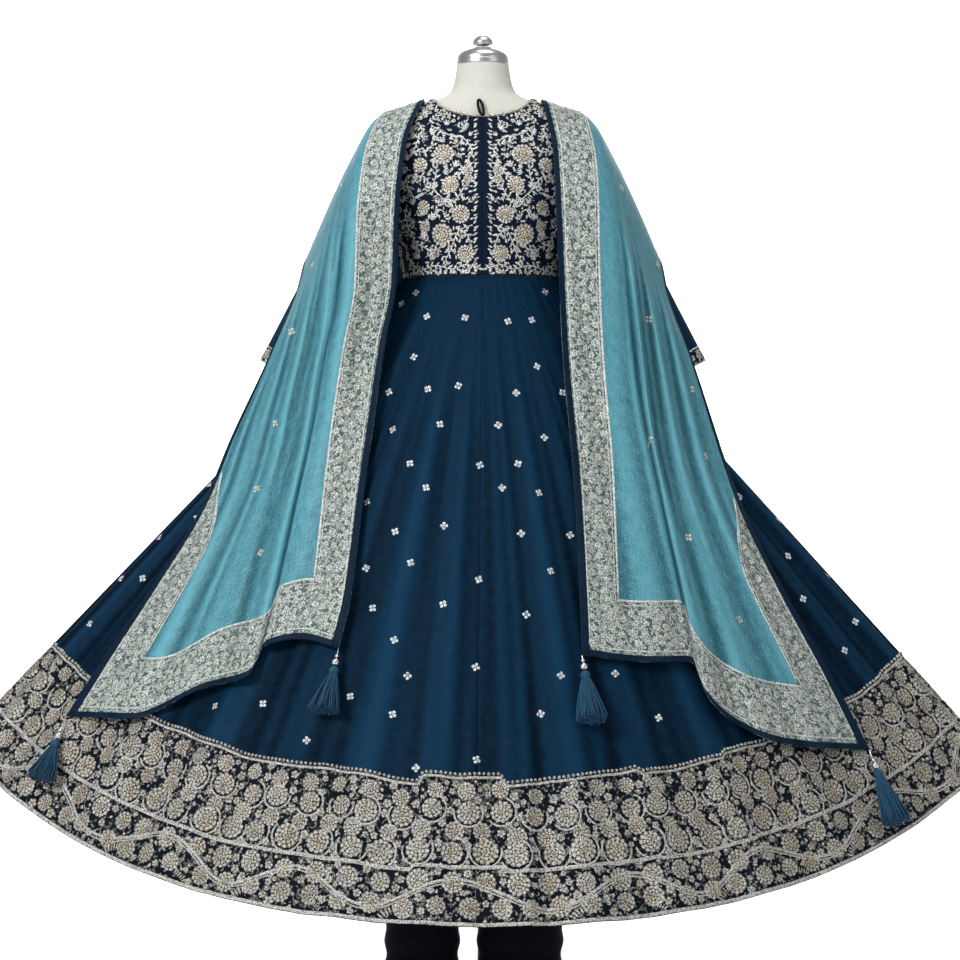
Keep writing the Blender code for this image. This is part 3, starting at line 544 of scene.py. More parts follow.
def border_drop(bearing: Array) -> Array:
    """How far the border's upper edge steps down where the folds lap, as a share of the skirt."""
    degrees = np.degrees(bearing) % 180.0
    places, drops = np.array(BORDER_STEPS).T
    return np.interp(degrees, places, drops) + 0.0008 * np.sin(0.9 * degrees)


def border_depth(bearing: Array, share: Array) -> Array:
    """Metres inside the embroidered border, less than zero above it."""
    return (share - BORDER_TOP - border_drop(bearing)) * SKIRT_LENGTH


def skirt_depth(x: Array, height: Array) -> Array:
    """How far back the plain skirt reaches at places seen from behind, or not a number."""

    def point(bearing: Array) -> Array:
        """Point of the plain skirt on a bearing, at the height asked for."""
        top, end = waist_ring(bearing), hem_ring(bearing)
        share = (top[..., 2] - height) / (top[..., 2] - end[..., 2])
        return top + (end - top) * share[..., None]

    low, high = np.zeros_like(x), np.full_like(x, math.pi)
    inside = (height < EMPIRE_SEAM) & (point(high)[..., 0] < x) & (x < point(low)[..., 0])
    for _ in range(30):
        middle = 0.5 * (low + high)
        beyond = point(middle)[..., 0] > x
        low, high = np.where(beyond, middle, low), np.where(beyond, high, middle)
    return np.where(inside, point(low)[..., 1], np.nan)


def bodice_depth(x: Array, height: Array) -> Array:
    """How far back the bodice reaches at places seen from behind, or not a number."""
    room = BODICE_EASE * smooth((SHOULDER_TIP + 0.01 - height) / 0.10) + SCARF_OFF_BODICE
    half_width = read_curve(BODY, height - SCARF_OFF_BODICE, 1) + room
    half_depth = read_curve(BODY, height - SCARF_OFF_BODICE, 2) + room
    inside = (height >= EMPIRE_SEAM) & (np.abs(x) < half_width)
    share = np.where(inside, 1.0 - (x / half_width) ** 2, 0.0)
    return np.where(inside, -half_depth * np.sqrt(share), np.nan)


def roll(value: Array) -> Array:
    """Rise from 0 to 1 as a quarter circle does, steep first and then level."""
    value = np.clip(value, 0.0, 1.0)
    return np.sqrt(value * (2.0 - value))


def rest_on(depth: Array, support: Array) -> Array:
    """Bring a depth to lie on or behind a support, with a soft change between them."""
    blended = 0.5 * (depth + support - np.sqrt((depth - support) ** 2 + SCARF_SOFTNESS**2))
    return np.where(np.isnan(support), depth, blended)


def skirt_clear(height: Array) -> Array:
    """Room above the plain skirt for its folds at a height."""
    return 0.018 * smooth((EMPIRE_SEAM - height) / (EMPIRE_SEAM - 0.30) / 0.5)


def scarf_end(side: Side, end: ScarfEnd) -> Surface:
    """Surface of one hanging end: u from the inner edge out, w from ridge to hem.

    Args:
        side: which shoulder it hangs from.
        end: its tables.

    Returns:
        A function from u and w to points, with rows closer together near the ridge.
    """

    def flat(u: Array, v: Array, column: int) -> Array:
        """A column of the tables, blended between the four edges."""
        corner_in, corner_out = end.inner[-1][column], end.outer[-1][column]
        ridge_in, ridge_out = RIDGE[0][column], RIDGE[-1][column]
        edges = (1 - v) * read_curve(RIDGE, u, column) + v * read_curve(end.hem, u, column)
        edges += (1 - u) * read_curve(end.inner, v, column) + u * read_curve(end.outer, v, column)
        corners = (1 - u) * ((1 - v) * ridge_in + v * corner_in)
        return edges - corners - u * ((1 - v) * ridge_out + v * corner_out)

    def surface(u: Array, w: Array) -> Array:
        """Points of the end at shares u and w."""
        v = w**ROW_EASE
        height, out = flat(u, v, 3), flat(u, v, 1)
        roundness = 1.0 - smooth((v - 0.35) / 0.35)
        inner_y, outer_y = read_curve(end.inner, v, 2), read_curve(end.outer, v, 2)
        arc = roundness * np.cos(0.5 * np.pi * u) + (1.0 - roundness) * (1.0 - u)
        ridge_y = read_curve(RIDGE, u, 2)
        depth = outer_y + (inner_y - outer_y) * arc
        depth = ridge_y + (depth - ridge_y) * roll(v / RIDGE_ROLL) - 0.5 * SEAM_GAP
        depth = np.where(v > NEAR_RIDGE, rest_on(depth, bodice_depth(out, height)), depth)
        behind = skirt_depth(side.value * out, height)
        depth = rest_on(depth, behind - SCARF_OFF_SKIRT - skirt_clear(height))
        rise = np.zeros_like(depth)
        for at_top, at_hem, fold_depth, spread in end.folds:
            place = at_top + (at_hem - at_top) * v
            rise = np.maximum(rise, fold_depth * hump(u - place, spread))
        rise *= smooth((v - 0.06) / 0.3)
        for at_top, at_hem, fold_depth, spread in end.creases:
            place = at_top + (at_hem - at_top) * v + 0.012 * np.sin(7.0 * v + 20.0 * at_top)
            rise += fold_depth * hump(u - place, spread) * smooth((v - 0.03) / 0.25)
        phase = 6.283 * (10.0 * u + 0.5 * np.sin(3.0 * v + side.value) + 0.35 * np.sin(14.0 * u))
        rise += 0.0016 * (1.0 + np.sin(phase)) * smooth((v - 0.05) / 0.2) * smooth((1.0 - v) / 0.12)
        return stack(side.value * out, depth - rise, height)

    return surface


def scarf_front(u: Array, w: Array) -> Array:
    """Front stretch: u from the neck edge to the lower edge, w from left to right."""
    q = -np.cos(np.pi * w)
    across = np.abs(q)
    out, ridge_y, ridge_z = (read_curve(RIDGE, u, column) for column in (1, 2, 3))
    middle_y = SWAG_TOP[0] + (SWAG_BOTTOM[0] - SWAG_TOP[0]) * u
    middle_z = SWAG_TOP[1] + (SWAG_BOTTOM[1] - SWAG_TOP[1]) * u
    y = ridge_y + (middle_y - ridge_y) * np.sqrt(np.maximum(0.0, 1.0 - across**3.0)) + 0.5 * SEAM_GAP
    z = middle_z + (ridge_z - middle_z) * across**1.7
    rise = np.zeros_like(y)
    for place, depth, spread in SWAG_FOLDS:
        rise = np.maximum(rise, depth * hump(u - place, spread))
    rise += 0.0025 * np.sin(26.0 * u + 2.0 * q) * smooth(u / 0.1) * smooth((1.0 - u) / 0.1)
    return stack(q * out, y + rise * (1.0 - across**2), z)


def sleeve(side: Side) -> Surface:
    """Outer skin of a sleeve: u round it, v from the armhole to the wrist edge.

    Args:
        side: which arm.

    Returns:
        A function from u and v to points.
    """
    outward = np.array([side.value * math.cos(SLEEVE_LEAN), 0.0, math.sin(SLEEVE_LEAN)])
    wrist = np.array([side.value * CUFF_OUTER[0], *CUFF_OUTER[1:]]) - outward * CUFF_RADIUS

    def surface(u: Array, v: Array) -> Array:
        """Points of the sleeve at shares u and v."""
        angle = 2.0 * np.pi * u
        middle = 0.5 * (SHOULDER_TIP + ARMPIT)
        reach = 0.5 * (SHOULDER_TIP - ARMPIT)
        hole = bodice(ARMHOLE_SPREAD * np.cos(angle), middle + reach * np.sin(angle))
        hole[..., 0] = side.value * (hole[..., 0] + 2.0 * SEAM_GAP)
        cuff = wrist + CUFF_RADIUS * (np.sin(angle)[..., None] * outward)
        cuff = cuff + stack(0.0, -CUFF_RADIUS * np.cos(angle), 0.0)
        points = hole + (cuff - hole) * v[..., None]
        crown = 0.014 * np.maximum(0.0, np.sin(angle)) * np.sin(np.pi * np.minimum(1.0, v / 0.6))
        points[..., 0] += side.value * crown
        creases = np.sin(9.0 * v + 2.0 * np.sin(angle)) * np.sin(23.0 * v + angle)
        points[..., 1] += 0.0018 * creases * np.sin(np.pi * v)
        return points

    return surface


def trouser_leg(side: Side) -> Surface:
    """Outer skin of a leg: u round it, v from the crotch to the hem, ruched low down."""
    top_edges, hem_edges = ((-0.172, -0.0135), (-0.170, -0.0396))
    if side is Side.RIGHT:
        top_edges, hem_edges = ((-0.0115, 0.172), (-0.0115, 0.1376))

    def surface(u: Array, v: Array) -> Array:
        """Points of the leg at shares u and v."""
        angle = 2.0 * np.pi * u
        share = smooth(v)
        low = top_edges[0] + (hem_edges[0] - top_edges[0]) * share
        high = top_edges[1] + (hem_edges[1] - top_edges[1]) * share
        half_depth = 0.118 + (0.058 - 0.118) * share
        ruche = 0.0022 * np.sin(95.0 * v + 1.5 * np.sin(angle)) * smooth((v - 0.72) / 0.2)
        ruche *= smooth((1.0 - v) / 0.02)
        half_width = 0.5 * (high - low) + ruche - 0.0022
        height = CROTCH - SEAM_GAP + (TROUSER_HEM - CROTCH) * v
        x = 0.5 * (low + high) + half_width * np.cos(angle)
        return stack(x, -(half_depth + ruche) * np.sin(angle), height)

    return surface


def trouser_seat(u: Array, v: Array) -> Array:
    """Outer skin of the seat: u round it, v from the waist down."""
    height = TROUSER_WAIST + (CROTCH - TROUSER_WAIST) * v
    bearing = 2.0 * np.pi * u
    ring = body(bearing, np.maximum(height, 0.96))
    room = SEAM_GAP + DRESS_CLOTH + 0.005 * smooth((TROUSER_WAIST - height) / 0.10)
    return stack(ring[..., 0] + room * np.cos(bearing), ring[..., 1] - room * np.sin(bearing), height)


# Meshes


def make_mesh(
    name: str,
    points: Array,
    faces: Sequence[Sequence[int]],
    material: bpy.types.Material,
    lay: Array,
    depth: Array | None = None,
) -> bpy.types.Object:
    """A smooth mesh object with each point's place on the cloth kept in its "lay" attribute.

    Args:
        name: the piece's name.
        points: its points, one row each.
        faces: point numbers of each face.
        material: its finish.
        lay: place on the cloth across and down, and tone or metres inside a border, one row a point.
        depth: painted shading from -1 to 1, kept in its depth attribute: 1 darkens a point as painted shade,
            -1 lightens it as a painted highlight.

    Returns:
        The object, linked to the scene.
    """
    mesh = bpy.data.meshes.new(name)
    mesh.from_pydata(points.tolist(), [], faces)
    attribute = mesh.attributes.new("lay", "FLOAT_VECTOR", "POINT")
    attribute.data.foreach_set("vector", np.ascontiguousarray(lay, dtype=np.float32).ravel())
    # The painted shade and highlight that the materials mix into the colour.
    sunken = mesh.attributes.new("depth", "FLOAT", "POINT")
    if depth is not None:
        sunken.data.foreach_set("value", np.ascontiguousarray(depth, dtype=np.float32).ravel())
    mesh.materials.append(material)
    mesh.shade_smooth()
    piece = bpy.data.objects.new(name, mesh)
    bpy.context.scene.collection.objects.link(piece)
    return piece


@dataclass
class Patch:
    """A stretch of cloth as an even grid: rows down it, columns across it."""

    surface: Surface
    rows: int
    columns: int
    facing: float = 1.0
    us: tuple[float, float] = (0.0, 1.0)
    vs: tuple[float, float] = (0.0, 1.0)
    # relief, when given, works out the painted shading kept below; without it, the folds' own shape does.
    relief: Surface | None = None
    points: Array = field(init=False)
    normals: Array = field(init=False)
    # Painted shading of each point: painted shade between the folds, painted highlight on their crests.
    sunken: Array = field(init=False)
    border: Array | None = None

    def __post_init__(self) -> None:
        """Sample the surface and its outward normals."""
        u = np.linspace(*self.us, self.columns)[None, :].repeat(self.rows, axis=0)
        v = np.linspace(*self.vs, self.rows)[:, None].repeat(self.columns, axis=1)
        self.points = self.surface(u, v)
        across = np.gradient(self.points, axis=1)
        down = np.gradient(self.points, axis=0)
        self.normals = unit(np.cross(across, down)) * self.facing
        self.sunken = self.relief(u, v) if self.relief else self.hollows()

    def widths(self) -> Array:
        """Length of each row, summed from its first column, in metres."""
        steps = np.linalg.norm(np.diff(self.points, axis=1), axis=-1)
        return np.concatenate([np.zeros((self.rows, 1)), np.cumsum(steps, axis=1)], axis=1)

    def lengths(self) -> Array:
        """Length of each column, summed from its first row, in metres."""
        steps = np.linalg.norm(np.diff(self.points, axis=0), axis=-1)
        return np.concatenate([np.zeros((1, self.columns)), np.cumsum(steps, axis=0)], axis=0)

    def read(self, grid: Array, u: Array, v: Array) -> Array:
        """Values of a grid at shares u across and v down, between its points."""
        x = np.clip(u, 0.0, 1.0) * (self.columns - 1)
        y = np.clip(v, 0.0, 1.0) * (self.rows - 1)
        i = np.minimum(x.astype(int), self.columns - 2)
        j = np.minimum(y.astype(int), self.rows - 2)
        fx, fy = (x - i)[..., None], (y - j)[..., None]
        top = grid[j, i] * (1 - fx) + grid[j, i + 1] * fx
        low = grid[j + 1, i] * (1 - fx) + grid[j + 1, i + 1] * fx
        return top * (1 - fy) + low * fy

    def at(self, u: Array, v: Array, lift: Array | float = 0.0) -> Array:
        """Points on the cloth at shares u and v, lifted off it."""
        lift = np.broadcast_to(np.asarray(lift, dtype=float), np.shape(u))
        return self.read(self.points, u, v) + self.read(self.normals, u, v) * lift[..., None]

    def shift(self, u: Array, v: Array, x: Array, y: Array) -> tuple[Array, Array]:
        """Shares reached from (u, v) by going x metres across and y metres down the cloth."""
        step = 0.004

        def span(share: Array) -> Array:
            """How wide the step is at a share: less at the cloth's edges."""
            return (np.clip(share + step, 0, 1) - np.clip(share - step, 0, 1))[..., None]

        across = (self.at(u + step, v) - self.at(u - step, v)) / span(u)
        down = (self.at(u, v + step) - self.at(u, v - step)) / span(v)
        width = np.linalg.norm(across, axis=-1)
        first = across / width[..., None]
        lean = (down * first).sum(axis=-1)
        height = np.linalg.norm(down - lean[..., None] * first, axis=-1)
        dv = y / height
        return u + (x - lean * dv) / width, v + dv

    def hollows(self) -> Array:
        """Painted shading from the folds' shape: 1 for painted shade where a point lies deep between folds,
        -1 for a painted highlight on a crest.
        """
        width = max(2, self.columns // 16)
        kernel = np.ones(2 * width + 1) / (2 * width + 1)
        first, last = self.points[:, :1].repeat(width, 1), self.points[:, -1:].repeat(width, 1)
        padded = np.concatenate([first, self.points, last], 1)
        mean = np.stack(
            [np.stack([np.convolve(row[:, k], kernel, "valid") for k in range(3)], -1) for row in padded]
        )
        below = ((mean - self.points) * self.normals).sum(axis=-1)
        return np.clip(below / 0.0035, -1.0, 1.0)

    def shell(
        self, name: str, thickness: float, material: bpy.types.Material, lift: float = 0.0
    ) -> bpy.types.Object:
        """Closed thin shell of the patch.

        Args:
            name: the piece's name.
            thickness: distance between its two skins.
            material: its finish.
            lift: how far its outer skin stands off the patch.

        Returns:
            The new object.
        """
        count = self.rows * self.columns
        outer = self.points + self.normals * lift
        inner = self.points + self.normals * (lift - thickness)
        place = np.arange(count).reshape(self.rows, self.columns)
        corners = [place[:-1, :-1], place[:-1, 1:], place[1:, 1:], place[1:, :-1]]
        cells = np.stack(corners, axis=-1).reshape(-1, 4)
        if self.facing < 0.0:
            cells = cells[:, ::-1]
        ring = np.concatenate([place[0, :], place[1:, -1], place[-1, -2::-1], place[-2:0:-1, 0]])
        if self.facing > 0.0:
            ring = ring[::-1]
        after = np.roll(ring, -1)
        rim = np.stack([ring, after, after + count, ring + count], axis=-1)
        faces = np.concatenate([cells, cells[:, ::-1] + count, rim])
        across = np.broadcast_to(self.widths().max(axis=0), (self.rows, self.columns))
        inside = np.full((self.rows, self.columns), -1.0) if self.border is None else self.border
        lay = np.stack([across, self.lengths(), inside], axis=-1).reshape(-1, 3)
        points = np.concatenate([outer.reshape(-1, 3), inner.reshape(-1, 3)])
        depth = np.tile(self.sunken.ravel(), 2)
        return make_mesh(name, points, faces.tolist(), material, np.concatenate([lay, lay]), depth)


def arc(radius: float, rise: float, middle: float, degrees: Array) -> list[tuple[float, float]]:
    """Round stretch of a turned profile, at angles from its top."""
    return [(radius * math.sin(a), middle + rise * math.cos(a)) for a in np.radians(degrees)]


def turned(
    name: str, profile: Sequence[tuple[float, float]], material: bpy.types.Material, sides: int
) -> bpy.types.Object:
    """A turned solid about the Z axis.

    Args:
        name: the piece's name.
        profile: radius and height of each ring, from the top down.
        material: its finish.
        sides: how many sides each ring has.

    Returns:
        The new object.
    """
    rings = [(r, z) for r, z in profile if r > 0.0]
    angles = np.linspace(0.0, 2.0 * np.pi, sides, endpoint=False)
    points = np.concatenate([stack(r * np.cos(angles), r * np.sin(angles), z) for r, z in rings])
    points = np.concatenate([points, [[0.0, 0.0, profile[0][1]], [0.0, 0.0, profile[-1][1]]]])
    faces: list[list[int]] = []
    last = (len(rings) - 1) * sides
    for i in range(sides):
        k = (i + 1) % sides
        faces.append([len(rings) * sides, i, k])
        faces.append([len(rings) * sides + 1, last + k, last + i])
        faces += [[j + i, j + sides + i, j + sides + k, j + k] for j in range(0, last, sides)]
    lay = np.zeros((len(points), 3))
    lay[:, 0] = np.arctan2(points[:, 1], points[:, 0])
    lay[:, 1] = points[:, 2]
    piece = make_mesh(name, points, faces, material, lay)
    piece.data.set_sharp_from_angle(angle=math.radians(35))
    return piece


# Embroidered motifs


@dataclass(frozen=True)
class Motif:
    """An embroidered shape in its own plane: points (across, up, height), faces, tones, and painted shade at
    each point, most at the feet and none on the crown.
    """

    points: Array
    faces: Array
    tones: Array
    depths: Array

    @staticmethod
    def join(parts: Sequence["Motif"]) -> "Motif":
        """Several shapes as one."""
        starts = np.cumsum([0] + [len(part.points) for part in parts[:-1]])
        return Motif(
            np.concatenate([part.points for part in parts]),
            np.concatenate([part.faces + start for part, start in zip(parts, starts)]),
            np.concatenate([part.tones for part in parts]),
            np.concatenate([part.depths for part in parts]),
        )

    def moved(self, x: float, y: float, turn: float = 0.0, lift: float = 0.0) -> "Motif":
        """The shape turned about its origin and then moved."""
        c, s = math.cos(turn), math.sin(turn)
        px, py, pz = self.points.T
        points = np.stack([x + c * px - s * py, y + s * px + c * py, pz + lift], axis=-1)
        return Motif(points, self.faces, self.tones, self.depths)


THREAD_RISE = 0.0009


def oval(length: float, width: float, tone: float, sides: int) -> Motif:
    """Padded satin stitch: an oval along +Y that starts at the origin."""
    angles = 2.0 * np.pi * np.arange(sides) / sides
    ring = stack(0.5 * width * np.sin(angles), 0.5 * length * (1.0 - np.cos(angles)), 0.0)
    points = np.concatenate([ring, [[0.0, 0.5 * length, THREAD_RISE]]])
    faces = np.array([[(i + 1) % sides, i, sides] for i in range(sides)])[:, ::-1]
    # Painted shade round the petal's foot, none on its crown.
    return Motif(points, faces, np.full(sides + 1, tone), np.array([1.0] * sides + [0.0]))


def leaf(length: float, width: float, tone: float) -> Motif:
    """Pointed leaf along +Y with a raised rib."""
    w = 0.5 * width
    points = np.array(
        [
            (0.0, 0.0, 0.0),
            (w, 0.35 * length, 0.0),
            (0.7 * w, 0.70 * length, 0.0),
            (0.0, length, 0.0),
            (-0.7 * w, 0.70 * length, 0.0),
            (-w, 0.35 * length, 0.0),
            (0.0, 0.40 * length, THREAD_RISE),
            (0.0, 0.72 * length, 0.7 * THREAD_RISE),
        ]
    )
    faces = np.array([(0, 1, 6), (1, 2, 6), (2, 7, 6), (2, 3, 7), (3, 4, 7), (4, 6, 7), (4, 5, 6), (5, 0, 6)])
    # Painted shade round the leaf's edge, none along its rib.
    return Motif(points, faces, np.full(8, tone), np.array([1.0] * 6 + [0.0, 0.0]))


def knot(radius: float, tone: float, sides: int = 7, rise: float = 0.0013) -> Motif:
    """Round knot of thread or a small bead."""
    angles = 2.0 * np.pi * np.arange(sides) / sides
    low = np.stack([radius * np.cos(angles), radius * np.sin(angles), np.zeros(sides)], axis=-1)
    high = low * 0.62 + np.array([0.0, 0.0, 0.75 * rise])
    points = np.concatenate([low, high, [[0.0, 0.0, rise]]])
    faces = []
    for i in range(sides):
        k = (i + 1) % sides
        faces += [(i, k, sides + k), (i, sides + k, sides + i), (sides + i, sides + k, 2 * sides)]
    # Painted shade at the knot's foot, less on its shoulder, none on top.
    depths = np.array([1.0] * sides + [0.25] * sides + [0.0])
    return Motif(points, np.array(faces), np.full(2 * sides + 1, tone), depths)


def wheel(
    radius: float, count: int, base: float, length: float, tone: float, lift: float, phase: float
) -> Motif:
    """A ring of round petals, each a little apart.

    Args:
        radius: the flower's radius.
        count: how many petals.
        base: share of the radius where the petals begin.
        length: their length, as a share of the radius.
        tone: 0 for pale thread, 1 for gold.
        lift: how far the ring stands off the cloth.
        phase: how far the ring is turned, in petals.

    Returns:
        The ring.
    """
    width = 1.06 * 2.0 * math.pi * (base + 0.55 * length) / count
    parts = []
    for k in range(count):
        turn = 2.0 * math.pi * (k + phase) / count
        petal = oval(length * radius, width * radius, tone, sides=6 if radius > 0.012 else 5)
        parts.append(petal.moved(-base * radius * math.sin(turn), base * radius * math.cos(turn), turn, lift))
    return Motif.join(parts)


def flower(radius: float, petals: int) -> Motif:
    """Full round flower: three rows of short petals round a gold heart."""
    return Motif.join(
        [
            wheel(radius, petals + 1, 0.62, 0.40, 0.24, 0.0, 0.0),
            wheel(radius, petals - 2, 0.34, 0.36, 0.34, 0.0004, 0.5),
            wheel(radius, max(5, petals - 6), 0.10, 0.30, 0.62, 0.0008, 0.0),
            knot(0.12 * radius, 1.0, sides=5).moved(0.0, 0.0, 0.0, 0.0010),
        ]
    )


def floret(radius: float, petals: int = 5) -> Motif:
    """Small open flower of round petals with a gold knot."""
    parts = [
        oval(0.85 * radius, 4.6 * radius / petals, 0.15, sides=6).moved(
            -0.2 * radius * math.sin(t), 0.2 * radius * math.cos(t), t
        )
        for t in (2.0 * math.pi * k / petals for k in range(petals))
    ]
    return Motif.join(parts + [knot(0.26 * radius, 0.8, sides=5).moved(0.0, 0.0, 0.0, 0.0003)])


def butti(radius: float) -> Motif:
    """Four-petal sprig scattered over the plain cloth."""
    petals = [
        oval(0.82 * radius, 0.86 * radius, 0.05, sides=7).moved(
            -0.18 * radius * math.sin(t), 0.18 * radius * math.cos(t), t
        )
        for t in (0.5 * math.pi * k for k in range(4))
    ]
    return Motif.join(petals + [knot(0.22 * radius, 0.5, sides=6).moved(0.0, 0.0, 0.0, 0.0003)])


def sprig(length: float, pairs: int, bend: float) -> Motif:
    """Curved stem with leaves on both sides and one at its tip."""
    parts = []
    for k in range(pairs):
        share = (k + 0.6) / (pairs + 0.4)
        turn = bend * share
        x, y = -length * share * math.sin(0.5 * turn), length * share * math.cos(0.5 * turn)
        size = length * (0.42 - 0.14 * share)
        for hand in (-1.0, 1.0):
            parts.append(leaf(size, 0.42 * size, 0.12).moved(x, y, turn + hand * 0.85))
        parts.append(leaf(length / pairs, 0.07 * length, 0.30).moved(x, y, turn + math.pi))
    tip = leaf(0.36 * length, 0.15 * length, 0.12)
    parts.append(tip.moved(-length * 0.9 * math.sin(0.5 * bend), length * 0.9 * math.cos(0.5 * bend), bend))
    return Motif.join(parts)


def plume(length: float) -> Motif:
    """Broad leaf of curved stripes that meet at its tip."""
    parts = []
    for k in range(6):
        lean = 0.16 * (k - 2.5)
        for part in range(2):
            x = 0.34 * length * (k - 2.5) / 2.5 * (0.55, 0.40)[part]
            size = (0.46, 0.44)[part] * length
            stripe = oval(size, 0.105 * length, 0.35, sides=5)
            parts.append(stripe.moved(x * 1.6, 0.5 * length * part, lean * (2 * part - 1) * 1.2))
    return Motif.join(parts)


def fan(length: float, rays: int) -> Motif:
    """Spray of slim leaves that opens upwards."""
    parts = []
    for k in range(rays):
        turn = (k - 0.5 * (rays - 1)) * 0.42
        size = length * (1.0 - 0.10 * abs(k - 0.5 * (rays - 1)))
        parts.append(leaf(size, 0.26 * size, 0.10).moved(0.0, 0.0, turn))
    return Motif.join(parts)


class Sprinkle(NamedTuple):
    """Where a motif is sewn: shares across and down, turn and scale."""

    motif: Motif
    u: float
    v: float
    turn: float
    scale: float


@dataclass
class Needle:
    """Embroidery on one patch of cloth, gathered and then sewn as one mesh."""

    patch: Patch
    seed: int
    sewn: list[Sprinkle] = field(default_factory=list)
    taken: list[tuple[float, float, float, float]] = field(default_factory=list)
    ribbons: list[tuple[Array, Array, float, float]] = field(default_factory=list)

    def __post_init__(self) -> None:
        """Seed the draws."""
        self.draw = np.random.default_rng(self.seed)

    def add(
        self, motif: Motif, u: float, v: float, turn: float, scale: float = 1.0, room: float = 0.0
    ) -> None:
        """Sew a motif at (u, v) and keep a round place of that radius for it."""
        self.sewn.append(Sprinkle(motif, u, v, turn, scale))
        if room > 0.0:
            x, y, z = self.patch.at(np.array([u]), np.array([v]))[0]
            self.taken.append((x, y, z, room))

    def scatter(
        self,
        motifs: Sequence[Motif],
        room: float,
        tries: int,
        inside: Callable[[Array, Array], Array],
        turns: tuple[float, float] = (0.0, 2.0 * math.pi),
        scales: tuple[float, float] = (0.85, 1.15),
    ) -> None:
        """Fill what is free of a region with motifs at random places, none on another.

        Args:
            motifs: what to choose from.
            room: the radius that each keeps.
            tries: how many places are drawn.
            inside: tells which (u, v) belong to the region.
            turns: range of turns.
            scales: range of scales.
        """
        u, v = self.draw.random(tries), self.draw.random(tries)
        turn = self.draw.uniform(*turns, tries)
        scale = self.draw.uniform(*scales, tries)
        kind = self.draw.integers(0, len(motifs), tries)
        keep = np.flatnonzero(inside(u, v))
        places = self.patch.at(u, v)
        taken = np.zeros((len(self.taken) + len(keep), 4))
        taken[: len(self.taken)] = np.array(self.taken).reshape(-1, 4)
        count = len(self.taken)
        for k in keep:
            gaps = np.linalg.norm(taken[:count, :3] - places[k], axis=1) - taken[:count, 3]
            if count and gaps.min() < room * scale[k]:
                continue
            taken[count] = (*places[k], room * scale[k])
            count += 1
            self.sewn.append(Sprinkle(motifs[kind[k]], u[k], v[k], turn[k], scale[k]))
        self.taken = [tuple(row) for row in taken[:count]]

    def ribbon(self, u: Array, v: Array, width: float, tone: float) -> None:
        """Lay a raised line of stitches along a path."""
        self.ribbons.append((np.asarray(u, dtype=float), np.asarray(v, dtype=float), width, tone))

    def beads(self, u: Array, v: Array, spacing: float, radius: float, tone: float = 0.0) -> None:
        """Set beads evenly along a path."""
        path = self.patch.at(u, v)
        run = np.concatenate([[0.0], np.cumsum(np.linalg.norm(np.diff(path, axis=0), axis=1))])
        marks = np.arange(0.5 * spacing, run[-1], spacing)
        shape = knot(radius, tone, sides=5, rise=radius)
        for a, b in zip(np.interp(marks, run, u), np.interp(marks, run, v)):
            self.sewn.append(Sprinkle(shape, a, b, 0.0, 1.0))

    def finish(self, name: str, material: bpy.types.Material, lift: float = 0.0003) -> bpy.types.Object:
        """Sew everything as one mesh that lies on the cloth.

        Args:
            name: the piece's name.
            material: its finish.
            lift: how far the stitches' feet stand off the cloth.

        Returns:
            The new object.
        """
        kinds: dict[int, list[Sprinkle]] = {}
        for sprinkle in self.sewn:
            kinds.setdefault(id(sprinkle.motif), []).append(sprinkle)
        points, faces, lays, depths, start = [], [], [], [], 0
        for group in kinds.values():
            motif = group[0].motif
            places = np.array([sprinkle[1:] for sprinkle in group], dtype=float)
            u, v, turn, scale = (column[:, None] for column in places.T)
            px, py, pz = motif.points.T
            x = scale * (np.cos(turn) * px - np.sin(turn) * py)
            y = -scale * (np.sin(turn) * px + np.cos(turn) * py)
            full = np.broadcast_to(u, x.shape), np.broadcast_to(v, x.shape)
            du, dv = self.patch.shift(*full, x, y)
            points.append(self.patch.at(du, dv, lift + pz * np.ones_like(x)).reshape(-1, 3))
            starts = start + len(motif.points) * np.arange(len(group))
            faces.append((motif.faces[None] + starts[:, None, None]).reshape(-1, 3))
            # Painted shade: stitches lying between the skirt's folds darken and turn more golden.
            valley_shade = np.clip(self.patch.read(self.patch.sunken[..., None], du, dv)[..., 0], 0.0, 1.0)
            lays.append(stack(px * scale, py * scale, motif.tones + 0.4 * valley_shade).reshape(-1, 3))
            depths.append(np.clip(motif.depths + 0.35 * valley_shade, 0.0, 1.0).ravel())
            start += len(group) * len(motif.points)
        flip = self.patch.facing > 0.0
        for u, v, width, tone in self.ribbons:
            middle = self.patch.at(u, v, lift + 0.0009)
            foot = self.patch.at(u, v, lift)
            normals = unit(self.patch.read(self.patch.normals, u, v))
            side = unit(np.cross(normals, np.gradient(middle, axis=0))) * 0.5 * width * self.patch.facing
            count = len(u)
            points.append(np.concatenate([foot - side, middle, foot + side]))
            i = start + np.arange(count - 1)
            lanes = ((0, count), (count, 2 * count))
            strips = [np.stack([i + a, i + 1 + a, i + 1 + b], -1) for a, b in lanes]
            strips += [np.stack([i + a, i + 1 + b, i + b], -1) for a, b in lanes]
            faces.append(np.concatenate(strips)[:, ::-1])
            run = np.concatenate([[0.0], np.cumsum(np.linalg.norm(np.diff(middle, axis=0), axis=1))])
            lays.append(np.concatenate([stack(k * width, run, tone) for k in (0.0, 0.5, 1.0)]))
            # Painted shade along both feet of the ribbon, none on its crown.
            depths.append(np.repeat([0.7, 0.0, 0.7], count))
            start += 3 * count
        every = np.concatenate(faces)
        if flip:
            every = every[:, ::-1]
        lay, depth = np.concatenate(lays), np.concatenate(depths)
        return make_mesh(name, np.concatenate(points), every.tolist(), material, lay, depth)


# Finishes


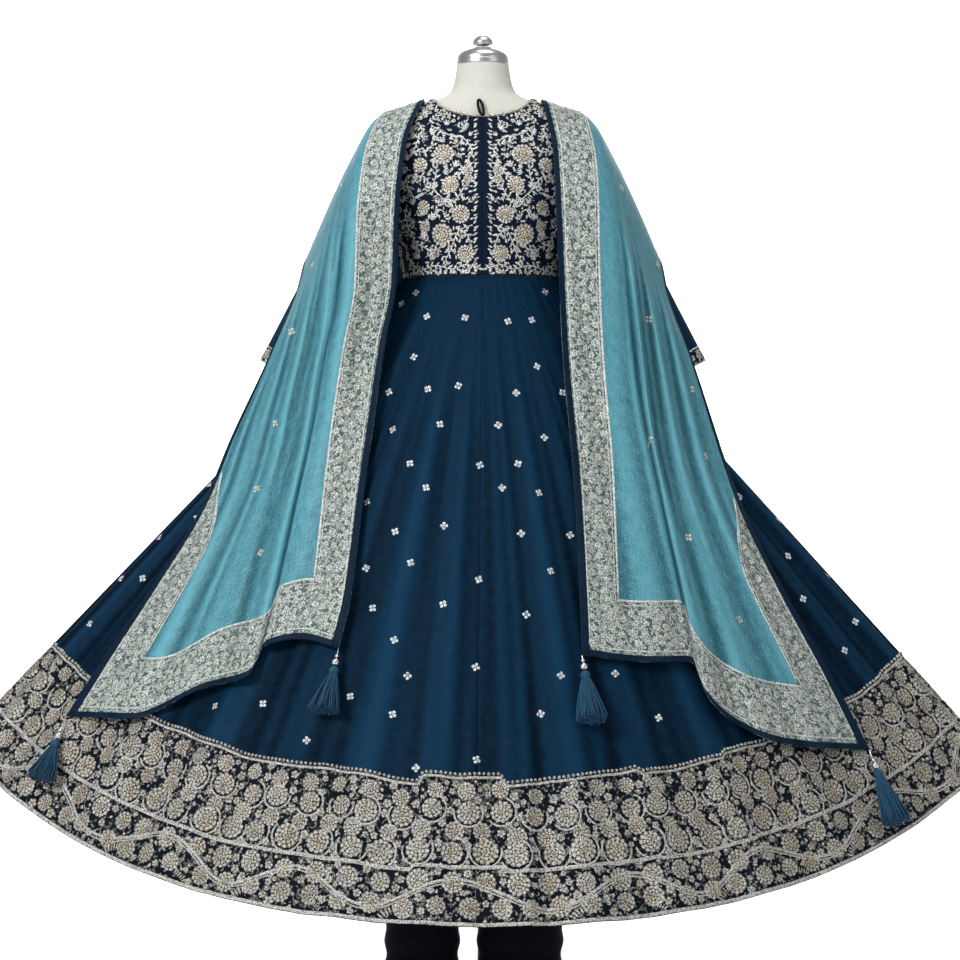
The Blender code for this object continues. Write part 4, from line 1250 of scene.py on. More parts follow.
class Tree:
    """A node tree with short ways to add nodes and join them."""

    def __init__(self, tree: bpy.types.NodeTree) -> None:
        """Wrap a tree."""
        self.tree = tree

    def add(self, kind: str, **values: object) -> bpy.types.Node:
        """Add a node and set its named properties."""
        node = self.tree.nodes.new(kind)
        for key, value in values.items():
            setattr(node, key, value)
        return node

    def math(self, operation: str, a: object, b: object = 0.0, clamp: bool = False) -> bpy.types.NodeSocket:
        """A Math node on two sockets or numbers; returns its result."""
        node = self.add("ShaderNodeMath", operation=operation, use_clamp=clamp)
        self.feed(node.inputs[0], a)
        self.feed(node.inputs[1], b)
        return node.outputs[0]

    def feed(self, socket: bpy.types.NodeSocket, value: object) -> None:
        """Link a socket to a socket, or set it to a value."""
        if isinstance(value, bpy.types.NodeSocket):
            self.tree.links.new(value, socket)
        else:
            socket.default_value = value

    def group(self, tree: bpy.types.NodeTree, **values: object) -> bpy.types.Node:
        """Place a shader group and feed its inputs by name."""
        node = self.add("ShaderNodeGroup", node_tree=tree)
        for key, value in values.items():
            self.feed(node.inputs[key], value)
        return node

    def noise(self, vector: object, scale: float, detail: float = 2.0) -> bpy.types.NodeSocket:
        """Noise value on a vector."""
        node = self.add("ShaderNodeTexNoise")
        self.feed(node.inputs["Vector"], vector)
        node.inputs["Scale"].default_value = scale
        node.inputs["Detail"].default_value = detail
        return node.outputs["Fac"]

    def scaled(self, vector: object, x: object, y: object, z: float = 1.0) -> bpy.types.NodeSocket:
        """A vector times a scale for each axis."""
        combine = self.add("ShaderNodeCombineXYZ")
        for socket, value in zip(combine.inputs, (x, y, z)):
            self.feed(socket, value)
        node = self.add("ShaderNodeVectorMath", operation="MULTIPLY")
        self.feed(node.inputs[0], vector)
        self.feed(node.inputs[1], combine.outputs[0])
        return node.outputs[0]

    def mix(self, factor: object, a: object, b: object) -> bpy.types.NodeSocket:
        """Mix of two colours."""
        node = self.add("ShaderNodeMix", data_type="RGBA")
        self.feed(node.inputs[0], factor)
        self.feed(node.inputs[6], a)
        self.feed(node.inputs[7], b)
        return node.outputs[2]

    def lay(self) -> bpy.types.NodeSocket:
        """Each point's place on the cloth."""
        return self.add("ShaderNodeAttribute", attribute_name="lay").outputs["Vector"]


NUMBER = "NodeSocketFloat"
VECTOR = "NodeSocketVector"


def new_group(
    name: str, inputs: dict[str, tuple[str, float]], outputs: Sequence[str]
) -> tuple[Tree, bpy.types.Node, bpy.types.Node]:
    """Start a shader group with its sockets.

    Args:
        name: the group's name.
        inputs: each input's socket type and default.
        outputs: the outputs' names, all numbers.

    Returns:
        The tree, its input node and its output node.
    """
    tree = bpy.data.node_groups.new(name, "ShaderNodeTree")
    for key, (kind, value) in inputs.items():
        socket = tree.interface.new_socket(name=key, in_out="INPUT", socket_type=kind)
        if kind == NUMBER:
            socket.default_value = value
    for key in outputs:
        tree.interface.new_socket(name=key, in_out="OUTPUT", socket_type=NUMBER)
    wrap = Tree(tree)
    return wrap, wrap.add("NodeGroupInput"), wrap.add("NodeGroupOutput")


def weave_group() -> bpy.types.NodeTree:
    """Woven cloth: crossed uneven yarns, as a height and a shade, the shade also carrying painted shade
    between the folds and painted highlight on their crests.
    """
    inputs = {
        "Lay": (VECTOR, 0.0),
        "Depth": (NUMBER, 0.0),
        "Threads": (NUMBER, 900.0),
        "Slub": (NUMBER, 0.5),
    }
    tree, given, out = new_group("woven_cloth", inputs, ("Height", "Shade"))
    lay, depth, threads, slub = (given.outputs[key] for key in ("Lay", "Depth", "Threads", "Slub"))
    along = tree.math("MULTIPLY", threads, 0.07)
    warp = tree.noise(tree.scaled(lay, threads, along), 1.0)
    weft = tree.noise(tree.scaled(lay, along, threads), 1.0)
    yarns = tree.math("MULTIPLY", tree.math("ADD", warp, weft), 0.5)
    split = tree.add("ShaderNodeSeparateXYZ")
    tree.feed(split.inputs[0], lay)
    waves = []
    for axis in (0, 1):
        swing = tree.math("MULTIPLY", split.outputs[axis], tree.math("MULTIPLY", threads, 3.14))
        waves.append(tree.math("SINE", swing))
    cross = tree.math("MULTIPLY", tree.math("MULTIPLY", waves[0], waves[1]), 0.22)
    height = tree.math("ADD", cross, tree.math("MULTIPLY", yarns, tree.math("ADD", slub, 0.5)))
    patches = tree.noise(lay, 55.0, 3.0)
    flecks = tree.noise(tree.scaled(lay, 260.0, 700.0), 1.0, 2.0)
    mixed = tree.math("ADD", tree.math("MULTIPLY", yarns, 0.5), tree.math("MULTIPLY", flecks, 0.5))
    lively = tree.math("MULTIPLY", tree.math("SUBTRACT", mixed, 0.5), tree.math("MULTIPLY", slub, 3.2))
    shade = tree.math("ADD", lively, 0.5)
    patchy = tree.math("MULTIPLY", tree.math("SUBTRACT", patches, 0.5), 0.5)
    shade = tree.math("ADD", shade, patchy, clamp=True)
    # Painted shade where the folds sink, painted highlight on their crests.
    shade = tree.math("SUBTRACT", shade, tree.math("MULTIPLY", depth, 0.5), clamp=True)
    tree.feed(out.inputs["Height"], height)
    tree.feed(out.inputs["Shade"], shade)
    return tree.tree


def stitch_group() -> bpy.types.NodeTree:
    """Satin stitches: fine parallel threads across a motif, dark between them, with painted glints and dark
    specks and painted shade at the stitches' feet and between the skirt's folds.
    """
    inputs = {"Lay": (VECTOR, 0.0), "Depth": (NUMBER, 0.0), "Pitch": (NUMBER, 1500.0)}
    tree, given, out = new_group("satin_stitch", inputs, ("Height", "Glint", "Tone"))
    lay, depth, pitch = (given.outputs[key] for key in ("Lay", "Depth", "Pitch"))
    split = tree.add("ShaderNodeSeparateXYZ")
    tree.feed(split.inputs[0], lay)
    slant = tree.math("ADD", split.outputs[1], tree.math("MULTIPLY", split.outputs[0], 0.6))
    threads = tree.math("SINE", tree.math("MULTIPLY", slant, tree.math("MULTIPLY", pitch, 6.28)))
    place = tree.add("ShaderNodeNewGeometry").outputs["Position"]
    rough = tree.noise(place, 480.0, 2.0)
    broad = tree.noise(place, 60.0, 2.0)
    tree.feed(out.inputs["Height"], tree.math("ADD", tree.math("MULTIPLY", threads, 0.3), rough))
    # Painted shade at the feet and between folds, and painted glints from fine noise; this mask mixes the
    # shadow colour with the thread's.
    painted_foot_shade = tree.math("MULTIPLY", tree.math("SUBTRACT", depth, 0.60), 1.7, clamp=True)
    painted_glint = tree.math("MULTIPLY", tree.math("SUBTRACT", rough, 0.36), 5.0)
    tree.feed(out.inputs["Glint"], tree.math("SUBTRACT", painted_glint, painted_foot_shade, clamp=True))
    drift = tree.math("MULTIPLY", tree.math("SUBTRACT", broad, 0.5), 0.8)
    tone = tree.math("ADD", split.outputs[2], drift, clamp=True)
    tree.feed(out.inputs["Tone"], tone)
    return tree.tree


def close_group() -> bpy.types.NodeTree:
    """Close stitching inside a border: grains of thread with gaps between them, and where it lies."""
    inputs = {"Lay": (VECTOR, 0.0), "Grain": (NUMBER, 240.0), "Gaps": (NUMBER, 0.16)}
    tree, given, out = new_group("close_stitching", inputs, ("Height", "Cover", "Inside"))
    lay, grain = given.outputs["Lay"], given.outputs["Grain"]
    split = tree.add("ShaderNodeSeparateXYZ")
    tree.feed(split.inputs[0], lay)
    flat = tree.scaled(lay, grain, grain, 0.0)
    wobble = tree.add("ShaderNodeTexNoise")
    tree.feed(wobble.inputs["Vector"], flat)
    wobble.inputs["Scale"].default_value = 0.55
    bent = tree.add("ShaderNodeVectorMath", operation="MULTIPLY_ADD")
    tree.feed(bent.inputs[0], wobble.outputs["Color"])
    bent.inputs[1].default_value = (1.6, 1.6, 0.0)
    tree.feed(bent.inputs[2], flat)
    kinds = ("DISTANCE_TO_EDGE", "F1")
    cells = [tree.add("ShaderNodeTexVoronoi", voronoi_dimensions="2D", feature=kind) for kind in kinds]
    for node in cells:
        tree.feed(node.inputs["Vector"], bent.outputs[0])
        node.inputs["Scale"].default_value = 1.0
    edge = cells[0].outputs["Distance"]
    chance = tree.add("ShaderNodeSeparateXYZ")
    tree.feed(chance.inputs[0], cells[1].outputs["Color"])
    grains = tree.math("MULTIPLY", tree.math("SUBTRACT", edge, 0.07), 9.0, clamp=True)
    spared = tree.math("SUBTRACT", chance.outputs[0], given.outputs["Gaps"])
    kept = tree.math("MULTIPLY", spared, 6.0, clamp=True)
    cover = tree.math("MULTIPLY", grains, kept)
    # Painted glint: each grain lit at a random strength.
    lit = tree.math("ADD", tree.math("MULTIPLY", chance.outputs[1], 0.45), 0.55)
    tree.feed(out.inputs["Cover"], tree.math("MULTIPLY", cover, lit, clamp=True))
    tree.feed(out.inputs["Height"], tree.math("MULTIPLY", cover, tree.math("ADD", edge, 0.4)))
    tree.feed(out.inputs["Inside"], tree.math("MULTIPLY", split.outputs[2], 1500.0, clamp=True))
    return tree.tree


def new_material(name: str) -> tuple[bpy.types.Material, Tree, bpy.types.Node]:
    """A material with its tree and its shader."""
    material = bpy.data.materials.new(name)
    material.use_nodes = True
    tree = Tree(material.node_tree)
    return material, tree, material.node_tree.nodes["Principled BSDF"]


def emboss(tree: Tree, shader: bpy.types.Node, height: object, strength: float, distance: float) -> None:
    """Bend the shader's normal by a height, through a Bump node."""
    bump = tree.add("ShaderNodeBump")
    bump.inputs["Strength"].default_value = strength
    bump.inputs["Distance"].default_value = distance
    tree.feed(bump.inputs["Height"], height)
    tree.feed(shader.inputs["Normal"], bump.outputs[0])


@dataclass(frozen=True)
class CloseWork:
    """Close stitching of a border: thread, gap, grains a metre and how many are left out."""

    pale: Colour
    gap: Colour
    grain: float
    gaps: float


@dataclass(frozen=True)
class ClothFinish:
    """Woven cloth: two colours of its yarns, which also serve as painted shade between folds and painted
    highlight on crests, how fine and how slubbed, and its sheen.
    """

    name: str
    deep: Colour
    light: Colour
    threads: float
    slub: float
    relief: float
    roughness: float
    sheen: float
    sheen_tint: Colour
    gloss: float = 0.15
    work: CloseWork | None = None

    def material(self, weave: bpy.types.NodeTree, close: bpy.types.NodeTree) -> bpy.types.Material:
        """Build the material."""
        material, tree, shader = new_material(self.name)
        depth = tree.add("ShaderNodeAttribute", attribute_name="depth").outputs["Fac"]
        cloth = tree.group(weave, Lay=tree.lay(), Depth=depth, Threads=self.threads, Slub=self.slub)
        colour = tree.mix(cloth.outputs["Shade"], (*self.deep, 1.0), (*self.light, 1.0))
        height = cloth.outputs["Height"]
        if self.work:
            sewn = tree.group(close, Lay=tree.lay(), Grain=self.work.grain, Gaps=self.work.gaps)
            # Painted shade: the close stitching dims between the folds.
            fold_shade_factor = tree.math("SUBTRACT", 1.0, tree.math("MULTIPLY", depth, 0.35))
            lit = tree.math("MULTIPLY", sewn.outputs["Cover"], fold_shade_factor, clamp=True)
            stitched = tree.mix(lit, (*self.work.gap, 1.0), (*self.work.pale, 1.0))
            colour = tree.mix(sewn.outputs["Inside"], colour, stitched)
            raised = tree.math("MULTIPLY", sewn.outputs["Height"], sewn.outputs["Inside"])
            height = tree.math("ADD", height, tree.math("MULTIPLY", raised, 3.0))
        shader.inputs["Specular IOR Level"].default_value = self.gloss
        tree.feed(shader.inputs["Base Color"], colour)
        shader.inputs["Roughness"].default_value = self.roughness
        shader.inputs["Sheen Weight"].default_value = self.sheen
        shader.inputs["Sheen Roughness"].default_value = 0.45
        shader.inputs["Sheen Tint"].default_value = (*self.sheen_tint, 1.0)
        emboss(tree, shader, height, self.relief, 0.0006)
        return material


@dataclass(frozen=True)
class ThreadFinish:
    """Metallic embroidery thread: pale and gold colours, and a shadow colour painted as shade at the
    stitches' feet, between the skirt's folds and in dark specks.
    """

    name: str
    pale: Colour
    gold: Colour
    shadow: Colour
    roughness: float
    metallic: float

    def material(self, stitch: bpy.types.NodeTree) -> bpy.types.Material:
        """Build the material."""
        material, tree, shader = new_material(self.name)
        depth = tree.add("ShaderNodeAttribute", attribute_name="depth").outputs["Fac"]
        sewn = tree.group(stitch, Lay=tree.lay(), Depth=depth, Pitch=1400.0)
        colour = tree.mix(sewn.outputs["Tone"], (*self.pale, 1.0), (*self.gold, 1.0))
        # Painted shade and painted glints: the thread's colour mixed toward the shadow colour.
        colour = tree.mix(sewn.outputs["Glint"], (*self.shadow, 1.0), colour)
        tree.feed(shader.inputs["Base Color"], colour)
        shader.inputs["Roughness"].default_value = self.roughness
        shader.inputs["Metallic"].default_value = self.metallic
        emboss(tree, shader, sewn.outputs["Height"], 0.5, 0.0004)
        return material


@dataclass(frozen=True)
class HardFinish:
    """Metal or paint: colour, worn colour, roughness range and how long its marks are."""

    name: str
    colour: Colour
    worn: Colour
    roughness: tuple[float, float]
    metallic: float
    marks: tuple[float, float]

    def material(self) -> bpy.types.Material:
        """Build the material."""
        material, tree, shader = new_material(self.name)
        place = tree.add("ShaderNodeNewGeometry").outputs["Position"]
        marks = tree.noise(tree.scaled(place, self.marks[0], self.marks[0], self.marks[1]), 1.0, 3.0)
        smudge = tree.noise(place, 14.0, 2.0)
        tree.feed(shader.inputs["Base Color"], tree.mix(smudge, (*self.colour, 1.0), (*self.worn, 1.0)))
        low, high = self.roughness
        rough = tree.math("ADD", tree.math("MULTIPLY", marks, high - low), low)
        tree.feed(shader.inputs["Roughness"], rough)
        shader.inputs["Metallic"].default_value = self.metallic
        emboss(tree, shader, marks, 0.08, 0.0003)
        return material


HEM_WORK = CloseWork(
    pale=(0.24, 0.24, 0.22),
    gap=(0.0040, 0.0058, 0.0110),
    grain=230.0,
    gaps=0.56,
)
SCARF_WORK = CloseWork(
    pale=(0.50, 0.53, 0.50),
    gap=(0.050, 0.085, 0.080),
    grain=240.0,
    gaps=0.20,
)
# The deep and light colours below also stand for painted shade between folds and painted highlight on crests.
GEORGETTE = ClothFinish(
    name="navy_georgette",
    deep=(0.0004, 0.0050, 0.0120),
    light=(0.0045, 0.0285, 0.0640),
    threads=700.0,
    slub=0.30,
    relief=0.22,
    roughness=0.62,
    sheen=0.0,
    sheen_tint=(0.4, 0.65, 0.9),
    gloss=0.03,
    work=HEM_WORK,
)
BODICE_GROUND = ClothFinish(
    name="bodice_ground",
    deep=(0.0015, 0.0040, 0.0110),
    light=(0.0050, 0.0120, 0.0290),
    threads=800.0,
    slub=0.45,
    relief=0.20,
    roughness=0.65,
    sheen=0.01,
    sheen_tint=(0.4, 0.6, 0.9),
    gloss=0.05,
)
SCARF_SILK = ClothFinish(
    name="teal_silk",
    deep=(0.012, 0.075, 0.100),
    light=(0.100, 0.302, 0.368),
    threads=520.0,
    slub=1.15,
    relief=0.40,
    roughness=0.48,
    sheen=0.03,
    sheen_tint=(0.70, 0.90, 1.0),
    gloss=0.16,
    work=SCARF_WORK,
)
NAVY_BINDING = ClothFinish(
    name="navy_binding",
    deep=(0.0008, 0.0055, 0.0140),
    light=(0.0040, 0.0170, 0.0370),
    threads=800.0,
    slub=0.4,
    relief=0.30,
    roughness=0.55,
    sheen=0.02,
    sheen_tint=(0.4, 0.6, 0.9),
    gloss=0.06,
)
TROUSER_COTTON = ClothFinish(
    name="dark_navy_cotton",
    deep=(0.0010, 0.0020, 0.0040),
    light=(0.0030, 0.0045, 0.0090),
    threads=900.0,
    slub=0.5,
    relief=0.30,
    roughness=0.72,
    sheen=0.01,
    sheen_tint=(0.4, 0.5, 0.7),
    gloss=0.06,
)
FORM_COVER = ClothFinish(
    name="form_cover",
    deep=(0.42, 0.415, 0.375),
    light=(0.56, 0.555, 0.50),
    threads=1100.0,
    slub=0.4,
    relief=0.25,
    roughness=0.75,
    sheen=0.03,
    sheen_tint=(1.0, 1.0, 1.0),
    gloss=0.15,
)
TASSEL_THREAD = ClothFinish(
    name="blue_tassel_thread",
    deep=(0.003, 0.022, 0.050),
    light=(0.022, 0.090, 0.165),
    threads=1200.0,
    slub=0.8,
    relief=0.4,
    roughness=0.50,
    sheen=0.04,
    sheen_tint=(0.5, 0.8, 1.0),
    gloss=0.15,
)
# Each shadow colour below is painted shade.
ZARI = ThreadFinish(
    name="zari_thread",
    pale=(0.66, 0.67, 0.66),
    gold=(0.70, 0.56, 0.33),
    shadow=(0.065, 0.060, 0.050),
    roughness=0.42,
    metallic=0.25,
)
HEM_ZARI = ThreadFinish(
    name="hem_zari_thread",
    pale=(0.49, 0.495, 0.48),
    gold=(0.50, 0.43, 0.31),
    shadow=(0.050, 0.048, 0.042),
    roughness=0.42,
    metallic=0.25,
)
SCARF_ZARI = ThreadFinish(
    name="scarf_zari_thread",
    pale=(0.62, 0.66, 0.64),
    gold=(0.64, 0.56, 0.40),
    shadow=(0.10, 0.13, 0.12),
    roughness=0.45,
    metallic=0.15,
)
SILVER_THREAD = ThreadFinish(
    name="silver_thread",
    pale=(0.70, 0.75, 0.78),
    gold=(0.66, 0.68, 0.66),
    shadow=(0.12, 0.14, 0.16),
    roughness=0.42,
    metallic=0.20,
)
STEEL = HardFinish(
    name="brushed_steel",
    colour=(0.52, 0.52, 0.53),
    worn=(0.44, 0.44, 0.45),
    roughness=(0.22, 0.40),
    metallic=1.0,
    marks=(60.0, 2400.0),
)
SILVER = HardFinish(
    name="silver_bead",
    colour=(0.66, 0.66, 0.66),
    worn=(0.50, 0.50, 0.51),
    roughness=(0.15, 0.35),
    metallic=1.0,
    marks=(500.0, 500.0),
)
PAINT = HardFinish(
    name="painted_base",
    colour=(0.70, 0.70, 0.69),
    worn=(0.62, 0.62, 0.61),
    roughness=(0.32, 0.50),
    metallic=0.0,
    marks=(220.0, 220.0),
)


class Wardrobe:
    """Every material, made once from the finishes."""

    def __init__(self) -> None:
        """Build the groups and the materials."""
        weave, stitch, close = weave_group(), stitch_group(), close_group()
        self.navy = GEORGETTE.material(weave, close)
        self.bodice = BODICE_GROUND.material(weave, close)
        self.silk = SCARF_SILK.material(weave, close)
        self.binding = NAVY_BINDING.material(weave, close)
        self.cotton = TROUSER_COTTON.material(weave, close)
        self.cover = FORM_COVER.material(weave, close)
        self.tassel = TASSEL_THREAD.material(weave, close)
        self.zari = ZARI.material(stitch)
        self.hem_zari = HEM_ZARI.material(stitch)
        self.silver_thread = SILVER_THREAD.material(stitch)
        self.scarf_zari = SCARF_ZARI.material(stitch)
        self.steel = STEEL.material()
        self.silver = SILVER.material()
        self.paint = PAINT.material()


def settle(piece: bpy.types.Object, slot: str, *nodes: str) -> None:
    """Ride a piece on the suit and hide the nodes that it stands for."""
    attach(piece, "root")
    if nodes:
        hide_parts(*nodes)
    LOG.info("%s: %d faces", piece.name, len(piece.data.polygons))


@dataclass
class DressForm:
    """Limbless form with its steel cap, pole and base."""

    wardrobe: Wardrobe
    sides: int = 96
    inset: float = 0.0012
    dome_rise: float = 0.0205

    def build(self) -> None:
        """Build the form's cover and the turned steel."""
        self.cover()
        self.steel()

    def cover(self) -> None:
        """The torso's covered skin."""

        def skin(u: Array, v: Array) -> Array:
            """Points of the form's skin, drawn in a little below the neck."""
            height = NECK_TOP + (FORM_BOTTOM - NECK_TOP) * v**1.6
            points = body(2.0 * np.pi * u, height)
            inset = self.inset * smooth((1.66 - height) / 0.02)
            points[..., 0] -= inset * np.cos(2.0 * np.pi * u)
            points[..., 1] += inset * np.sin(2.0 * np.pi * u)
            return points

        patch = Patch(skin, 80, self.sides + 1)
        points = patch.points[:, : self.sides].reshape(-1, 3)
        place = np.arange(len(points)).reshape(patch.rows, self.sides)
        after = np.roll(place, -1, axis=1)
        cells = np.stack([place[:-1], after[:-1], after[1:], place[1:]], axis=-1).reshape(-1, 4).tolist()
        cells.append(place[0, ::-1].tolist())
        cells.append(place[-1].tolist())
        across, down = patch.widths().max(axis=0)[None], patch.lengths()
        lay = stack(across[:, : self.sides], down[:, : self.sides], 0.0).reshape(-1, 3)
        piece = make_mesh("form_cover", points, cells, self.wardrobe.cover, lay)
        piece.data.set_sharp_from_angle(angle=math.radians(60))
        settle(piece, "form_cover", "form_torso")

    def steel(self) -> None:
        """Neck cap, knob, pole and base."""
        rim = NECK_TOP + SEAM_GAP
        cap = [(0.0, rim + 0.0315)]
        cap += arc(0.0447, self.dome_rise, rim + 0.011, np.arange(4, 90, 7))
        cap += [(0.0447, rim + 0.0080), (0.0455, rim + 0.0072), (0.0455, rim + 0.0008)]
        cap += [(0.0449, rim), (0.0, rim)]
        settle(turned("neck_cap", cap, self.wardrobe.steel, 96), "brushed_steel", "form_neck_cap")
        seat = rim + 0.0325 + SEAM_GAP
        knob = [(0.0, seat + 0.0195)]
        knob += arc(0.0180, 0.0150, seat + 0.0045, np.arange(6, 96, 7))
        knob += [(0.0165, seat + 0.0015), (0.0120, seat), (0.0, seat)]
        settle(turned("neck_knob", knob, self.wardrobe.steel, 64), "brushed_steel", "form_neck_knob")
        for node, material in (("stand_pole", self.wardrobe.steel), ("stand_base", self.wardrobe.paint)):
            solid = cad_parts[node]
            solid.data.materials.clear()
            solid.data.materials.append(material)


# Bodice flowers of one half: metres out from the centre, height, radius
BODICE_FLOWERS = (
    (0.0670, 1.5265, 0.0190),
    (0.1060, 1.5090, 0.0135),
    (0.0547, 1.4736, 0.0155),
    (0.1000, 1.4370, 0.0120),
    (0.0375, 1.4230, 0.0160),
    (0.0690, 1.3900, 0.0190),
    (0.0294, 1.3575, 0.0150),
    (0.0980, 1.4040, 0.0105),
    (0.0260, 1.4980, 0.0100),
    (0.0250, 1.4830, 0.0085),
)

# Stems of one half of the bodice: metres out from the centre and height, from foot to tip
BODICE_STEMS = (
    (
        (0.0889, 1.5784), (0.0703, 1.5652), (0.0538, 1.5593), (0.0362, 1.5549),
        (0.0242, 1.5443), (0.0180, 1.5290), (0.0242, 1.5180),
    ),
    ((0.0143, 1.5114), (0.0264, 1.5070), (0.0406, 1.4894), (0.0505, 1.4817)),
    ((0.0505, 1.4323), (0.0604, 1.4455), (0.0736, 1.4565), (0.0863, 1.4686)),
    ((0.0498, 1.4345), (0.0549, 1.4455), (0.0608, 1.4598)),
    ((0.0461, 1.4367), (0.0428, 1.4499), (0.0329, 1.4675), (0.0209, 1.4785)),
    ((0.0176, 1.4049), (0.0384, 1.3972), (0.0483, 1.3807), (0.0538, 1.3654), (0.0626, 1.3489)),
    ((0.0384, 1.3972), (0.0264, 1.3884), (0.0220, 1.3763)),
    (
        (0.1197, 1.3269), (0.0999, 1.3335), (0.0780, 1.3390),
        (0.0516, 1.3324), (0.0296, 1.3390), (0.0088, 1.3335),
    ),
    ((0.1230, 1.5246), (0.1153, 1.5334), (0.0999, 1.5312), (0.0867, 1.5410)),
    ((0.1175, 1.4872), (0.1021, 1.4894), (0.0863, 1.4686), (0.0780, 1.5004)),
    ((0.1285, 1.4433), (0.1307, 1.4214), (0.1230, 1.3994), (0.1131, 1.3796), (0.0966, 1.3687)),
    ((0.1109, 1.5905), (0.1032, 1.5685), (0.1109, 1.5509), (0.1153, 1.5377)),
    ((0.0681, 1.4301), (0.0780, 1.4323), (0.0813, 1.4247)),
    ((0.0911, 1.3555), (0.0802, 1.3643), (0.0714, 1.3687)),
    ((0.1307, 1.3665), (0.1241, 1.3489), (0.1109, 1.3357)),
    ((0.1307, 1.4872), (0.1263, 1.4697), (0.1175, 1.4543)),
)


